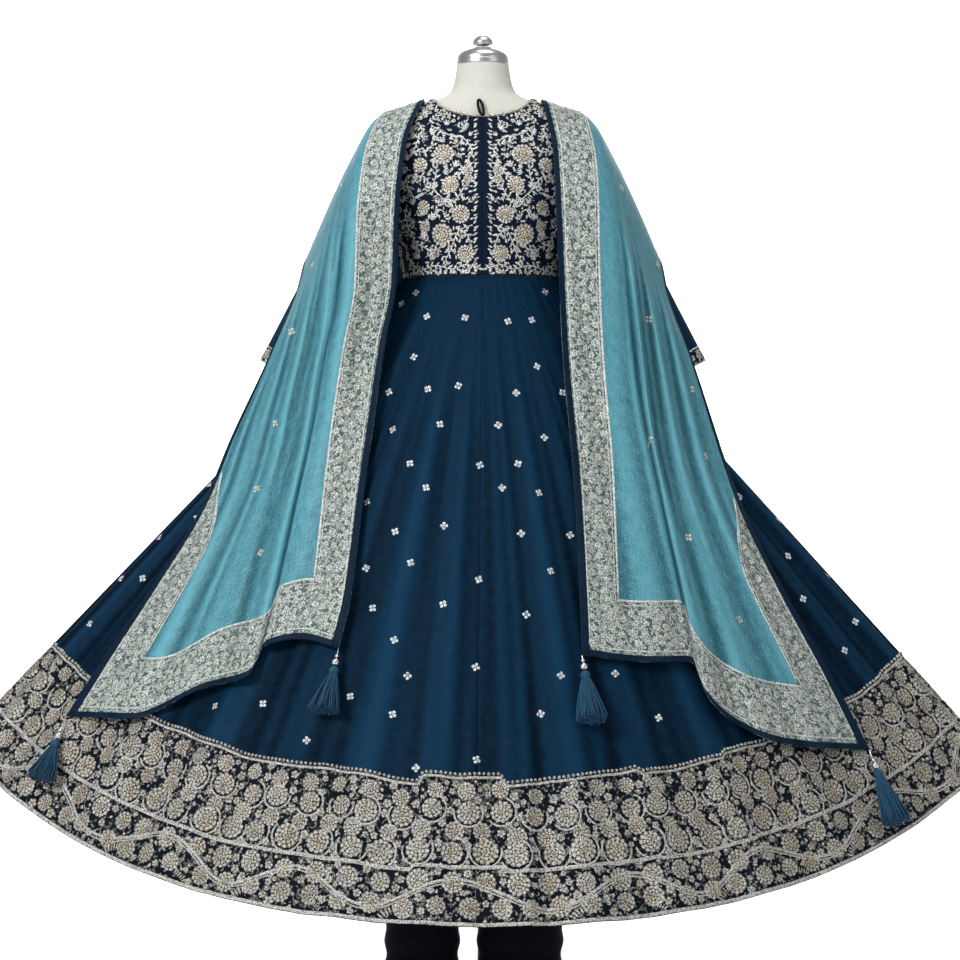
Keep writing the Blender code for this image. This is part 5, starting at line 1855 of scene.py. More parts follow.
@dataclass
class BodiceLook:
    """Bodice shells, their embroidery, the zip and the neck."""

    wardrobe: Wardrobe
    centre_strip: float = 0.0115
    neck_band: float = 0.016
    loop_foot: float = 0.0032
    loop_height: float = 0.0275

    def build(self) -> None:
        """Build back halves, front, zip and neckline."""
        flowers = {size: flower(size, 14 if size > 0.014 else 10) for _, _, size in BODICE_FLOWERS}
        for side in Side:
            back = Patch(bodice_half(side, False), 72, 60, facing=-side.value)
            shell = back.shell(f"bodice_back_cloth_{side.word}", BODICE_SHELL, self.wardrobe.bodice)
            settle(shell, "embroidered_navy", f"bodice_back_{side.word}")
            self.embroider(back, side, flowers, "back")
            front = Patch(bodice_half(side, True), 72, 60, facing=side.value)
            self.embroider(front, side, flowers, "front")
        whole = Patch(self.front, 72, 119)
        shell = whole.shell("bodice_front_cloth", BODICE_SHELL, self.wardrobe.bodice)
        settle(shell, "embroidered_navy", "bodice_front")
        self.zip()
        self.neck()

    @staticmethod
    def front(u: Array, v: Array) -> Array:
        """Surface of the whole front, from the right side to the left."""
        right, left = bodice_half(Side.RIGHT, True), bodice_half(Side.LEFT, True)
        share = np.abs(2.0 * u - 1.0)
        return np.where((u < 0.5)[..., None], right(share, v), left(share, v))

    def embroider(self, patch: Patch, side: Side, flowers: dict[float, Motif], name: str) -> None:
        """Sew one half: flowers in their places, stems, sprays, leaves and a neck band."""
        needle = Needle(patch, seed=5)
        widths, lengths = patch.widths(), patch.lengths()
        strip = self.centre_strip if name == "back" else 0.0
        top = NECK_SIDE if name == "back" else FRONT_NECK - 0.018

        def place(out: float, height: float) -> tuple[float, float]:
            """Shares at metres out from the centre and at a height."""
            x, z = side.value * patch.points[..., 0], patch.points[..., 2]
            row, column = np.unravel_index(((x - out) ** 2 + (z - height) ** 2).argmin(), x.shape)
            near = np.array([column / (patch.columns - 1)]), np.array([row / (patch.rows - 1)])
            u, v = patch.shift(*near, np.array([out - x[row, column]]), np.array([z[row, column] - height]))
            return float(u[0]), float(v[0])

        def inside(u: Array, v: Array) -> Array:
            """Whether places lie off the zip's strip and above the seam."""
            out = u * np.interp(v, np.linspace(0, 1, patch.rows), widths[:, -1])
            return (out > strip + 0.003) & (v < 0.993)

        def in_band(u: Array, v: Array) -> Array:
            """Whether places lie in the band round the neck."""
            down = v * np.interp(u, np.linspace(0, 1, patch.columns), lengths[-1])
            return inside(u, v) & (down < self.neck_band)

        for out, height, size in BODICE_FLOWERS:
            if height < top:
                needle.add(flowers[size], *place(out, height), out * 40.0, 1.0, room=0.96 * size)
        leaves = [leaf(0.0105, 0.0044, 0.0), leaf(0.0088, 0.0040, 0.05), leaf(0.0125, 0.0048, 0.0)]
        for stem in BODICE_STEMS:
            if stem[0][1] < top:
                self.stem(needle, [place(*point) for point in stem], leaves)
        for k, v in enumerate(np.linspace(0.03, 0.975, 40)):
            row = int(v * (patch.rows - 1))
            u = float(np.interp(strip + 0.0045, widths[row], np.linspace(0, 1, patch.columns)))
            needle.add(leaves[k % 2], u, float(v), 0.9 + 0.35 * math.sin(2.3 * k), 0.95, room=0.0022)
        for k, u in enumerate(np.linspace(0.04, 0.98, 34)):
            needle.add(leaves[k % 2], max(0.13, float(u)), 0.994, 0.7 * math.sin(4.0 * k), 1.0, room=0.003)
        small = [leaf(0.0066, 0.0034, 0.05), leaf(0.0058, 0.0032, 0.15), floret(0.0040)]
        sprays = [fan(0.0160, 4), sprig(0.021, 3, 0.8), sprig(0.021, 3, -0.8)]
        needle.scatter(small, 0.0027, 9000, in_band)
        needle.scatter(sprays, 0.0072, 4000, inside, (-1.4, 1.4))
        needle.scatter([fan(0.0115, 3), leaf(0.0120, 0.0046, 0.0)], 0.0046, 6000, inside, (-2.0, 2.0))
        needle.scatter(leaves, 0.0034, 9000, inside)
        needle.scatter([leaf(0.0060, 0.0030, 0.05)], 0.0025, 5000, inside)
        piece = needle.finish(f"bodice_{name}_embroidery_{side.word}", self.wardrobe.zari)
        settle(piece, "embroidered_navy")

    @staticmethod
    def stem(needle: Needle, path: Sequence[tuple[float, float]], leaves: Sequence[Motif]) -> None:
        """A smooth stem with slim leaves on both its sides.

        Args:
            needle: what sews it.
            path: its places, as shares across and down, from foot to tip.
            leaves: leaves to choose from.
        """
        marks = np.arange(len(path), dtype=float)
        rows = [(mark, *place) for mark, place in zip(marks, path)]
        keys = np.linspace(0.0, marks[-1], 6 * len(path))
        u, v = read_curve(rows, keys, 1), read_curve(rows, keys, 2)
        needle.ribbon(u, v, 0.0022, 0.0)
        line = needle.patch.at(u, v)
        run = np.concatenate([[0.0], np.cumsum(np.linalg.norm(np.diff(line, axis=0), axis=1))])
        across = needle.patch.at(u + 0.01, v) - needle.patch.at(u - 0.01, v)
        down = needle.patch.at(u, v + 0.01) - needle.patch.at(u, v - 0.01)
        ahead = np.gradient(line, axis=0)
        headings = np.arctan2(-(ahead * unit(across)).sum(-1), -(ahead * unit(down)).sum(-1))
        for k, mark in enumerate(np.arange(0.004, run[-1], 0.0052)):
            i = min(int(np.searchsorted(run, mark)), len(run) - 1)
            hand = 0.85 if k % 2 else -0.85
            needle.add(leaves[k % 3], float(u[i]), float(v[i]), float(headings[i]) + hand, 0.95, room=0.0040)
        needle.add(leaves[2], float(u[-1]), float(v[-1]), float(headings[-1]), 1.0, room=0.0040)

    def zip(self) -> None:
        """Centre-back placket of two folds that meet over the zip, and the pull's loop."""

        def placket(hand: int) -> Surface:
            """Surface of one fold beside the zip."""
            def surface(u: Array, v: Array) -> Array:
                """Points of the fold at shares u and v."""
                low = EMPIRE_SEAM + SEAM_GAP
                bearing = 0.5 * math.pi + hand * (0.0022 + (0.0745 - 0.0022) * u)
                return bodice(bearing, BACK_NECK + 0.0005 + (low - BACK_NECK - 0.0005) * v)

            return surface

        folds = []
        for hand, word in ((-1, "right"), (1, "left")):
            patch = Patch(placket(hand), 60, 8, facing=float(hand) * -1.0)
            edge = np.linspace(0.0, 1.0, patch.columns)
            swell = np.sin(np.pi * np.minimum(1.0, 3.0 * edge) * 0.5)[None, :, None]
            patch.points = patch.points + patch.normals * 0.0006 * swell
            # Painted shade where the two folds meet over the zip, painted highlight over the rest of each
            # fold.
            placket_shading = np.where(edge < 0.1, 1.0, -0.8)
            patch.sunken = np.broadcast_to(placket_shading, (patch.rows, patch.columns))
            name = f"zip_fold_{word}"
            folds.append(patch.shell(name, BODICE_SHELL, self.wardrobe.navy, lift=PLACKET_LIFT))
        settle(folds[0], "navy_georgette", "zip_placket")
        settle(folds[1], "navy_georgette")
        angles = np.linspace(0.0, 2.0 * np.pi, 25)[:-1]
        rise = self.loop_foot + 0.5 * self.loop_height * (1.0 + np.cos(angles))
        skin = body(np.full_like(angles, 0.5 * np.pi), BACK_NECK + rise)[..., 1]
        path = stack(0.0040 * np.sin(angles) - 0.22 * rise, skin - 0.0088 + 0.09 * rise, BACK_NECK + rise)
        loop = cord("zip_loop", path, 0.0025, self.wardrobe.cotton, winds=30)
        settle(loop, "navy_georgette", "zip_pull_loop")

    def neck(self) -> None:
        """Corded binding round the neckline, wound with thread."""
        angles = np.linspace(0.0, 2.0 * np.pi, 181)[:-1]
        height = neckline(angles)
        foot, ahead = bodice(angles, height), bodice(angles, height + 0.001)
        upward = unit(ahead - foot)
        outward = unit(np.cross(upward, bodice(angles + 0.001, height) - bodice(angles - 0.001, height)))
        centre = foot + upward * 0.0027 + outward * 0.0010
        ring = cord("neck_cord", centre, 0.0021, self.wardrobe.zari, winds=150)
        settle(ring, "embroidered_navy", "neck_binding")


def cord(
    name: str, path: Array, radius: float, material: bpy.types.Material, winds: int
) -> bpy.types.Object:
    """A round cord along a ring, with turns of thread wound round it.

    Args:
        name: the piece's name.
        path: its centre line, which closes on itself.
        radius: its radius.
        material: its finish.
        winds: how many turns of thread show.

    Returns:
        The new object.
    """
    sides = 8
    ahead = unit(np.roll(path, -1, axis=0) - np.roll(path, 1, axis=0))
    guide = np.array([0.0, 0.0, 1.0]) + 0.01 * ahead
    first = unit(np.cross(ahead, guide))
    second = np.cross(ahead, first)
    turn = np.linspace(0.0, 2.0 * np.pi, sides, endpoint=False)
    share = np.linspace(0.0, 1.0, len(path))[:, None]
    size = radius * (0.90 + 0.10 * np.sin(2.0 * np.pi * winds * share + turn))
    ring = np.cos(turn)[None, :, None] * first[:, None] + np.sin(turn)[None, :, None] * second[:, None]
    points = path[:, None] + ring * size[..., None]
    here = np.arange(len(path) * sides).reshape(len(path), sides)
    after = np.roll(here, -1, axis=0)
    corners = [here, np.roll(here, -1, axis=1), np.roll(after, -1, axis=1), after]
    cells = np.stack(corners, axis=-1).reshape(-1, 4).tolist()
    lay = stack(turn[None] * radius, share * 3.0, 0.3).reshape(-1, 3)
    return make_mesh(name, points.reshape(-1, 3), cells, material, lay)


@dataclass
class SleevesLook:
    """Sleeves with their embroidered cuffs."""

    wardrobe: Wardrobe

    def build(self) -> None:
        """Build both sleeves."""
        for side in Side:
            arm = Patch(sleeve(side), 60, 61, facing=-side.value, vs=(0.0, CUFF_START))
            shell = arm.shell(f"sleeve_cloth_{side.word}", PLAIN_SHELL, self.wardrobe.navy)
            settle(shell, "navy_georgette", f"sleeve_{side.word}")
            cuff = Patch(sleeve(side), 14, 97, facing=-side.value, vs=(CUFF_START + 0.0006, 1.0))
            shell = cuff.shell(f"cuff_cloth_{side.word}", CUFF_SHELL, self.wardrobe.bodice)
            settle(shell, "embroidered_navy", f"cuff_{side.word}")
            needle = Needle(cuff, seed=11)
            ring = np.linspace(0.0, 1.0, 160)
            for v, width in ((0.04, 0.0016), (0.95, 0.0022)):
                needle.ribbon(ring, np.full_like(ring, v), width, 0.1)
            for k, u in enumerate(np.linspace(0.02, 0.98, 16)):
                shape = floret(0.0058) if k % 2 else flower(0.0072, 8)
                needle.add(shape, float(u), 0.5, 0.3 * k, 1.0, room=0.0060)
            leaves = [leaf(0.0070, 0.0030, 0.1), fan(0.0075, 3)]
            needle.scatter(leaves, 0.0028, 4000, lambda u, v: (v > 0.1) & (v < 0.9))
            settle(needle.finish(f"cuff_embroidery_{side.word}", self.wardrobe.zari), "embroidered_navy")


# Rows of large flowers in the hem border: share down the skirt, spacing, radius
BORDER_ROWS = (
    (0.8110, 0.0520, 0.0150),
    (0.8400, 0.0520, 0.0185),
    (0.8690, 0.0500, 0.0165),
    (0.8965, 0.0540, 0.0205),
    (0.9400, 0.0540, 0.0185),
    (0.9740, 0.0500, 0.0175),
)

# Four-petal sprigs seen between the scarf's ends: bearing in degrees, share down the skirt
SPRIGS_SEEN = (
    (135.9, 0.029), (47.5, 0.027), (119.8, 0.070), (98.9, 0.071), (77.2, 0.077), (64.4, 0.075),
    (118.2, 0.139), (68.6, 0.153), (122.4, 0.201), (108.5, 0.191), (98.1, 0.184), (78.5, 0.196),
    (61.8, 0.198), (115.9, 0.261), (102.0, 0.248), (85.1, 0.248), (72.2, 0.269), (108.1, 0.313),
    (90.2, 0.312), (80.6, 0.310), (102.6, 0.351), (85.0, 0.348), (76.6, 0.358), (115.9, 0.381),
    (107.6, 0.422), (97.5, 0.409), (81.6, 0.420), (71.4, 0.426), (111.5, 0.483), (102.9, 0.470),
    (90.1, 0.491), (76.9, 0.481), (108.2, 0.543), (96.1, 0.531), (82.1, 0.545), (108.2, 0.679),
    (120.9, 0.712), (127.9, 0.736), (100.4, 0.641), (90.4, 0.624), (78.0, 0.641), (69.6, 0.644),
    (101.6, 0.700), (81.4, 0.695), (64.8, 0.717), (112.5, 0.753), (97.6, 0.776), (90.1, 0.761),
    (164.5, 0.723), (103.2, 0.590), (25.4, 0.724), (71.4, 0.590), (15.0, 0.700), (33.0, 0.690),
    (150.0, 0.700), (171.0, 0.640),
)

# Rows of four-petal sprigs on the rest of the plain skirt: share down it, spacing
BUTTI_ROWS = (
    (0.022, 0.150),
    (0.050, 0.063),
    (0.092, 0.064),
    (0.135, 0.066),
    (0.180, 0.068),
    (0.228, 0.071),
    (0.278, 0.075),
    (0.330, 0.079),
    (0.384, 0.084),
    (0.440, 0.088),
    (0.498, 0.091),
    (0.558, 0.094),
    (0.618, 0.096),
    (0.678, 0.097),
    (0.736, 0.098),
)


@dataclass
class SkirtLook:
    """Skirt shells, the scattered sprigs and the wide embroidered hem."""

    wardrobe: Wardrobe
    columns: int = 150
    rows: int = 58

    def build(self) -> None:
        """Build the four quarters and sew each half round."""
        quarters = (("back_right", 0.0), ("back_left", 0.5), ("front_left", 1.0), ("front_right", 1.5))
        for word, start in quarters:
            spans = (start * math.pi + 0.0002, (start + 0.5) * math.pi - 0.0002)
            patch = Patch(skirt, self.rows, self.columns, us=spans, vs=(0.0006, 1.0), relief=skirt_hollow)
            bearing = np.linspace(*spans, self.columns)[None].repeat(self.rows, axis=0)
            patch.border = border_depth(bearing, np.linspace(0.0006, 1.0, self.rows)[:, None])
            shell = patch.shell(f"skirt_cloth_{word}", PLAIN_SHELL, self.wardrobe.navy)
            settle(shell, "navy_georgette", f"skirt_{word}", f"hem_border_{word}")
        for word, start in (("back", 0.0), ("front", 1.0)):
            spans = (start * math.pi, (start + 1.0) * math.pi)
            patch = Patch(skirt, self.rows, 2 * self.columns, us=spans, vs=(0.0006, 1.0), relief=skirt_hollow)
            self.sprigs(patch, word, 21 + int(start))
            self.border(patch, word, 31 + int(start))

    def row(self, patch: Patch, share: float, spacing: float, offset: float) -> Array:
        """Shares across for even places along a row."""
        run = patch.widths()[int(share * (patch.rows - 1))]
        count = max(2, round(run[-1] / spacing))
        marks = (np.arange(count) + 0.25 + 0.5 * offset) * run[-1] / count
        return np.interp(marks, run, np.linspace(0.0, 1.0, patch.columns))

    def sprigs(self, patch: Patch, word: str, seed: int) -> None:
        """Scatter the four-petal sprigs: where they are seen behind, in uneven rows elsewhere."""
        needle = Needle(patch, seed)
        shape = butti(0.0070)
        behind = word == "back"
        for degrees, share in SPRIGS_SEEN if behind else ():
            needle.add(shape, degrees / 180.0, share, 0.5 * math.sin(degrees), 1.0)
        for k, (share, spacing) in enumerate(BUTTI_ROWS):
            for u in self.row(patch, share, spacing, k % 2):
                drift = needle.draw.uniform(-1.0, 1.0, 3)
                seen = behind and (share > 0.62 or abs(u - 0.5) < np.interp(share, (0.0, 0.6), (0.28, 0.17)))
                if not seen:
                    needle.add(shape, float(u) + 0.004 * drift[0], share + 0.006 * drift[1], 0.25 * drift[2])
        settle(needle.finish(f"skirt_sprigs_{word}", self.wardrobe.silver_thread), "embroidered_navy")

    def border(self, patch: Patch, word: str, seed: int) -> None:
        """Sew the hem border: edge lines, flowers in rows, scrolls, florets and leaves."""
        needle = Needle(patch, seed)
        line = np.linspace(0.0, 1.0, 900)

        def drop(u: Array) -> Array:
            """Steps of the border's edge at shares across."""
            return border_drop(np.pi * np.asarray(u))

        needle.ribbon(line, BORDER_TOP + drop(line) + 0.0045, 0.0040, 0.05)
        needle.beads(line, BORDER_TOP + drop(line) - 0.0012, 0.0076, 0.0031, 0.0)
        needle.ribbon(line, BORDER_LINE + 0.5 * drop(line), 0.0060, 0.20)
        needle.ribbon(line, np.full_like(line, 0.9965), 0.0056, 0.10)
        for k, (share, spacing, radius) in enumerate(BORDER_ROWS):
            shapes = [flower(radius, 12), flower(0.86 * radius, 10), flower(0.95 * radius, 11)]
            weight = np.interp(share, (BORDER_TOP, BORDER_LINE, 1.0), (1.0, 0.5, 0.0))
            for i, u in enumerate(self.row(patch, share, spacing, k % 2)):
                drift = needle.draw.uniform(-1.0, 1.0, 3)
                u = float(u) + 0.0022 * drift[0]
                place = (u, share + weight * float(drop(u)) + 0.003 * drift[1])
                needle.add(shapes[i % 3], *place, 3.0 * drift[2], 1.0, room=0.97 * radius)
                if k in (1, 3):
                    self.scroll(needle, place, 1.22 * radius, drift[2] + (i % 2) * 3.0)
        self.long_stems(needle)

        def inside(u: Array, v: Array) -> Array:
            """Whether places lie in the border and off its lines."""
            below_edge = v > BORDER_TOP + drop(u) + 0.010
            off_line = np.abs(v - BORDER_LINE - 0.5 * drop(u)) > 0.0048
            return below_edge & (v < 0.990) & off_line

        fill = 1.0 if word == "back" else 0.6
        needle.scatter([floret(0.0070), floret(0.0062)], 0.0062, int(24000 * fill), inside)
        small = [floret(0.0044), fan(0.0100, 3), knot(0.0030, 0.0, sides=6)]
        needle.scatter(small, 0.0042, int(36000 * fill), inside)
        piece = needle.finish(f"hem_embroidery_{word}", self.wardrobe.hem_zari)
        settle(piece, "embroidered_navy")

    def long_stems(self, needle: Needle) -> None:
        """Long curved stems and striped leaves below the border's cord."""
        run = needle.patch.widths()[int(0.955 * (needle.patch.rows - 1))]
        u = np.linspace(0.002, 0.998, 900)
        metres = np.interp(u, np.linspace(0.0, 1.0, needle.patch.columns), run)
        swing = 2.0 * np.pi * (metres / 0.262 + 0.06 * np.sin(9.0 * metres)) + 2.2
        v = 0.9555 + 0.0215 * np.cos(swing)
        needle.ribbon(u, v, 0.0046, 0.1)
        needle.ribbon(u, v + 0.0052, 0.0024, 0.1)
        tips = np.flatnonzero(np.diff(np.sign(np.cos(swing - 0.6))) > 0)
        for k, i in enumerate(tips):
            needle.add(plume(0.036), float(u[i]), 0.989, -0.55, 1.0, room=0.013)
            needle.add(plume(0.026), float(u[min(i + 40, 899)]), 0.9895, 0.5, 1.0, room=0.010)

    def scroll(self, needle: Needle, place: tuple[float, float], radius: float, turn: float) -> None:
        """A stem that curls under a flower."""
        angles = 0.3 * turn + np.linspace(-0.4, 3.4, 16)
        u, v = np.full_like(angles, place[0]), np.full_like(angles, place[1])
        u, v = needle.patch.shift(u, v, radius * np.cos(angles), radius * np.sin(angles))
        if v.max() < 0.992 and v.min() > BORDER_TOP + 0.012:
            needle.ribbon(u, v, 0.0030, 0.1)


@dataclass
class TrousersLook:
    """Slim trousers with ruched ankles."""

    wardrobe: Wardrobe

    def build(self) -> None:
        """Build the legs and the seat."""
        for side in Side:
            leg = Patch(trouser_leg(side), 120, 49)
            shell = leg.shell(f"trouser_leg_cloth_{side.word}", PLAIN_SHELL, self.wardrobe.cotton)
            settle(shell, "dark_navy_cotton", f"trouser_leg_{side.word}")
        seat = Patch(trouser_seat, 24, 49)
        shell = seat.shell("trouser_seat_cloth", PLAIN_SHELL, self.wardrobe.cotton)
        settle(shell, "dark_navy_cotton", "trouser_seat")


@dataclass
class ScarfLook:
    """Scarf: silk panels with close-stitched borders, embroidery and binding."""

    wardrobe: Wardrobe
    border: float = 0.066
    rows: int = 124
    columns: int = 92

    def build(self) -> None:
        """Build both ends and the front stretch."""
        for side, end in ((Side.LEFT, LEFT_END), (Side.RIGHT, RIGHT_END)):
            patch = Patch(scarf_end(side, end), self.rows, self.columns, facing=-side.value)
            self.panel(patch, side, end)
            self.bindings(patch, side, end)
            self.embroider(patch, side, end)
        self.front()

    def edges(self, patch: Patch, end: ScarfEnd) -> Edges:
        """Metres from the inner edge, the hem and the outer edge, and the outer border's width."""
        widths, lengths = patch.widths(), patch.lengths()
        shares_down = np.linspace(0.0, 1.0, patch.rows)
        shares_across = np.linspace(0.0, 1.0, patch.columns)

        def measure(u: Array, v: Array) -> tuple[Array, Array, Array, Array]:
            """The four distances at shares u and v."""
            width = np.interp(v, shares_down, widths[:, -1])
            length = np.interp(u, shares_across, lengths[-1])
            grown = smooth((v**ROW_EASE - end.outer_border_from) / OUTER_BORDER_GROWS)
            outer_width = BINDING_WIDTH + self.border * grown
            return u * width, (1.0 - v) * length + 0.004, (1.0 - u) * width, outer_width

        return measure

    def panel(self, patch: Patch, side: Side, end: ScarfEnd) -> None:
        """The silk panel with close stitching in its borders."""
        u, v = np.meshgrid(np.linspace(0.0, 1.0, patch.columns), np.linspace(0.0, 1.0, patch.rows))
        inner, hem, outer, width = self.edges(patch, end)(u, v)
        reach = self.border + BINDING_WIDTH
        beside = np.where(width > BINDING_WIDTH + 0.004, width - outer, -1.0)
        patch.border = np.maximum(np.maximum(reach - inner, reach - hem), beside)
        shell = patch.shell(f"scarf_cloth_{side.word}", SCARF_SHELL, self.wardrobe.silk)
        settle(shell, "teal_silk", f"dupatta_back_{side.word}")

    def bindings(self, patch: Patch, side: Side, end: ScarfEnd) -> None:
        """Navy binding folded over the inner edge, the hem and the outer edge."""
        share = BINDING_SHARE
        surface = scarf_end(side, end)
        spans = {
            "inner": ((0.0, share), (0.0, 1.0), 6, self.rows),
            "outer": ((1.0 - share, 1.0), (0.0, 1.0), 6, self.rows),
            "hem": ((0.0, 1.0), (0.9925, 1.0), self.columns, 6),
        }
        for word, (us, vs, columns, rows) in spans.items():
            strip = Patch(surface, rows, columns, facing=-side.value, us=us, vs=vs)
            name = f"scarf_binding_{word}_{side.word}"
            piece = strip.shell(name, BINDING_SHELL, self.wardrobe.binding, lift=BINDING_LIFT)
            nodes = (f"dupatta_binding_{side.word}",) if word == "inner" else ()
            settle(piece, "navy_binding", *nodes)

    def embroider(self, patch: Patch, side: Side, end: ScarfEnd) -> None:
        """Edge lines and small dense flowers on the borders, sprigs on the silk."""
        needle = Needle(patch, 41 + side.value)
        measure = self.edges(patch, end)
        low, high = BINDING_WIDTH + 0.001, BINDING_WIDTH + self.border - 0.001
        down = np.linspace(0.0, 1.0, 260)
        widths = np.interp(down, np.linspace(0, 1, patch.rows), patch.widths()[:, -1])
        lengths = patch.lengths()
        hem_length = np.interp(down, np.linspace(0, 1, patch.columns), lengths[-1])
        for reach, width in ((low + 0.001, 0.0024), (high, 0.0034), (high - 0.006, 0.0014)):
            keep = down < 1.0 - reach / float(lengths[-1, 0])
            needle.ribbon(reach / widths[keep], down[keep], width, 0.1)
            along = (down > reach / widths[-1]) & (down < 1.0 - reach / widths[-1])
            needle.ribbon(down[along], 1.0 - (reach - 0.004) / hem_length[along], width, 0.1)
            share = smooth((down**ROW_EASE - end.outer_border_from) / OUTER_BORDER_GROWS)
            grown = BINDING_WIDTH + (reach - BINDING_WIDTH) * share
            keep = (grown > BINDING_WIDTH + 0.0016) & (down < 1.0 - reach / float(lengths[-1, -1]))
            needle.ribbon(1.0 - grown[keep] / widths[keep], down[keep], width, 0.1)

        def on_border(u: Array, v: Array) -> Array:
            """Whether places lie in the borders' embroidered bands."""
            inner, hem, outer, width = measure(u, v)
            free = (inner > low + 0.004) & (hem > low + 0.004) & (outer > low + 0.004)
            top = high - 0.009
            return free & ((inner < top) | (hem < top) | (outer < width - 0.010))

        def on_silk(u: Array, v: Array) -> Array:
            """Whether places lie on the plain silk."""
            inner, hem, outer, width = measure(u, v)
            reach = high + 0.012
            return (inner > reach) & (hem > reach) & (outer > np.maximum(width + 0.012, 0.03)) & (v > 0.12)

        needle.scatter([floret(0.0062, 6)], 0.0085, 9000, on_border)
        needle.scatter([floret(0.0046), floret(0.0042)], 0.0042, 26000, on_border)
        needle.scatter([butti(0.0075)], 0.058, 900, on_silk, (-0.2, 0.2), (0.95, 1.05))
        piece = needle.finish(f"scarf_embroidery_{side.word}", self.wardrobe.scarf_zari)
        settle(piece, "teal_silk")

    def front(self) -> None:
        """The stretch that swags across the front."""
        patch = Patch(scarf_front, 120, 60, facing=-1.0)
        across = patch.widths()
        patch.border = self.border + BINDING_WIDTH - np.minimum(across, across[:, -1:] - across)
        shell = patch.shell("scarf_cloth_front", SCARF_SHELL, self.wardrobe.silk)
        settle(shell, "teal_silk", "dupatta_front")
        share = BINDING_SHARE
        for word, us in (("neck", (0.0, share)), ("front", (1.0 - share, 1.0))):
            strip = Patch(scarf_front, 120, 6, facing=-1.0, us=us)
            name = f"scarf_binding_{word}"
            piece = strip.shell(name, BINDING_SHELL, self.wardrobe.binding, lift=BINDING_LIFT)
            settle(piece, "navy_binding", f"dupatta_binding_{word}")
        needle = Needle(patch, 47)
        down = np.linspace(0.0, 1.0, 300)
        width = float(patch.widths()[patch.rows // 2, -1])
        low, high = (BINDING_WIDTH + 0.002) / width, (BINDING_WIDTH + self.border) / width
        for share in (low, high, 1.0 - low, 1.0 - high):
            needle.ribbon(np.full_like(down, share), down, 0.0028, 0.1)

        def on_border(u: Array, v: Array) -> Array:
            """Whether places lie in one of the two borders."""
            near = np.minimum(u, 1.0 - u)
            return (near > low + 0.008) & (near < high - 0.012)

        needle.scatter([floret(0.0062, 6)], 0.0085, 7000, on_border)
        needle.scatter([floret(0.0046)], 0.0046, 16000, on_border)
        needle.scatter([butti(0.0085)], 0.058, 900, lambda u, v: np.minimum(u, 1.0 - u) > high + 0.03)
        settle(needle.finish("scarf_embroidery_front", self.wardrobe.scarf_zari), "teal_silk")


# Tasselled corners: side, name, place across the hem, thread length, tassel length
CORNERS = (
    (Side.LEFT, "inner", 0.0, 0.024, 0.066),
    (Side.LEFT, "outer", 1.0, 0.036, 0.060),
    (Side.RIGHT, "inner", 0.0, 0.020, 0.074),
    (Side.RIGHT, "outer", 1.0, 0.028, 0.084),
)


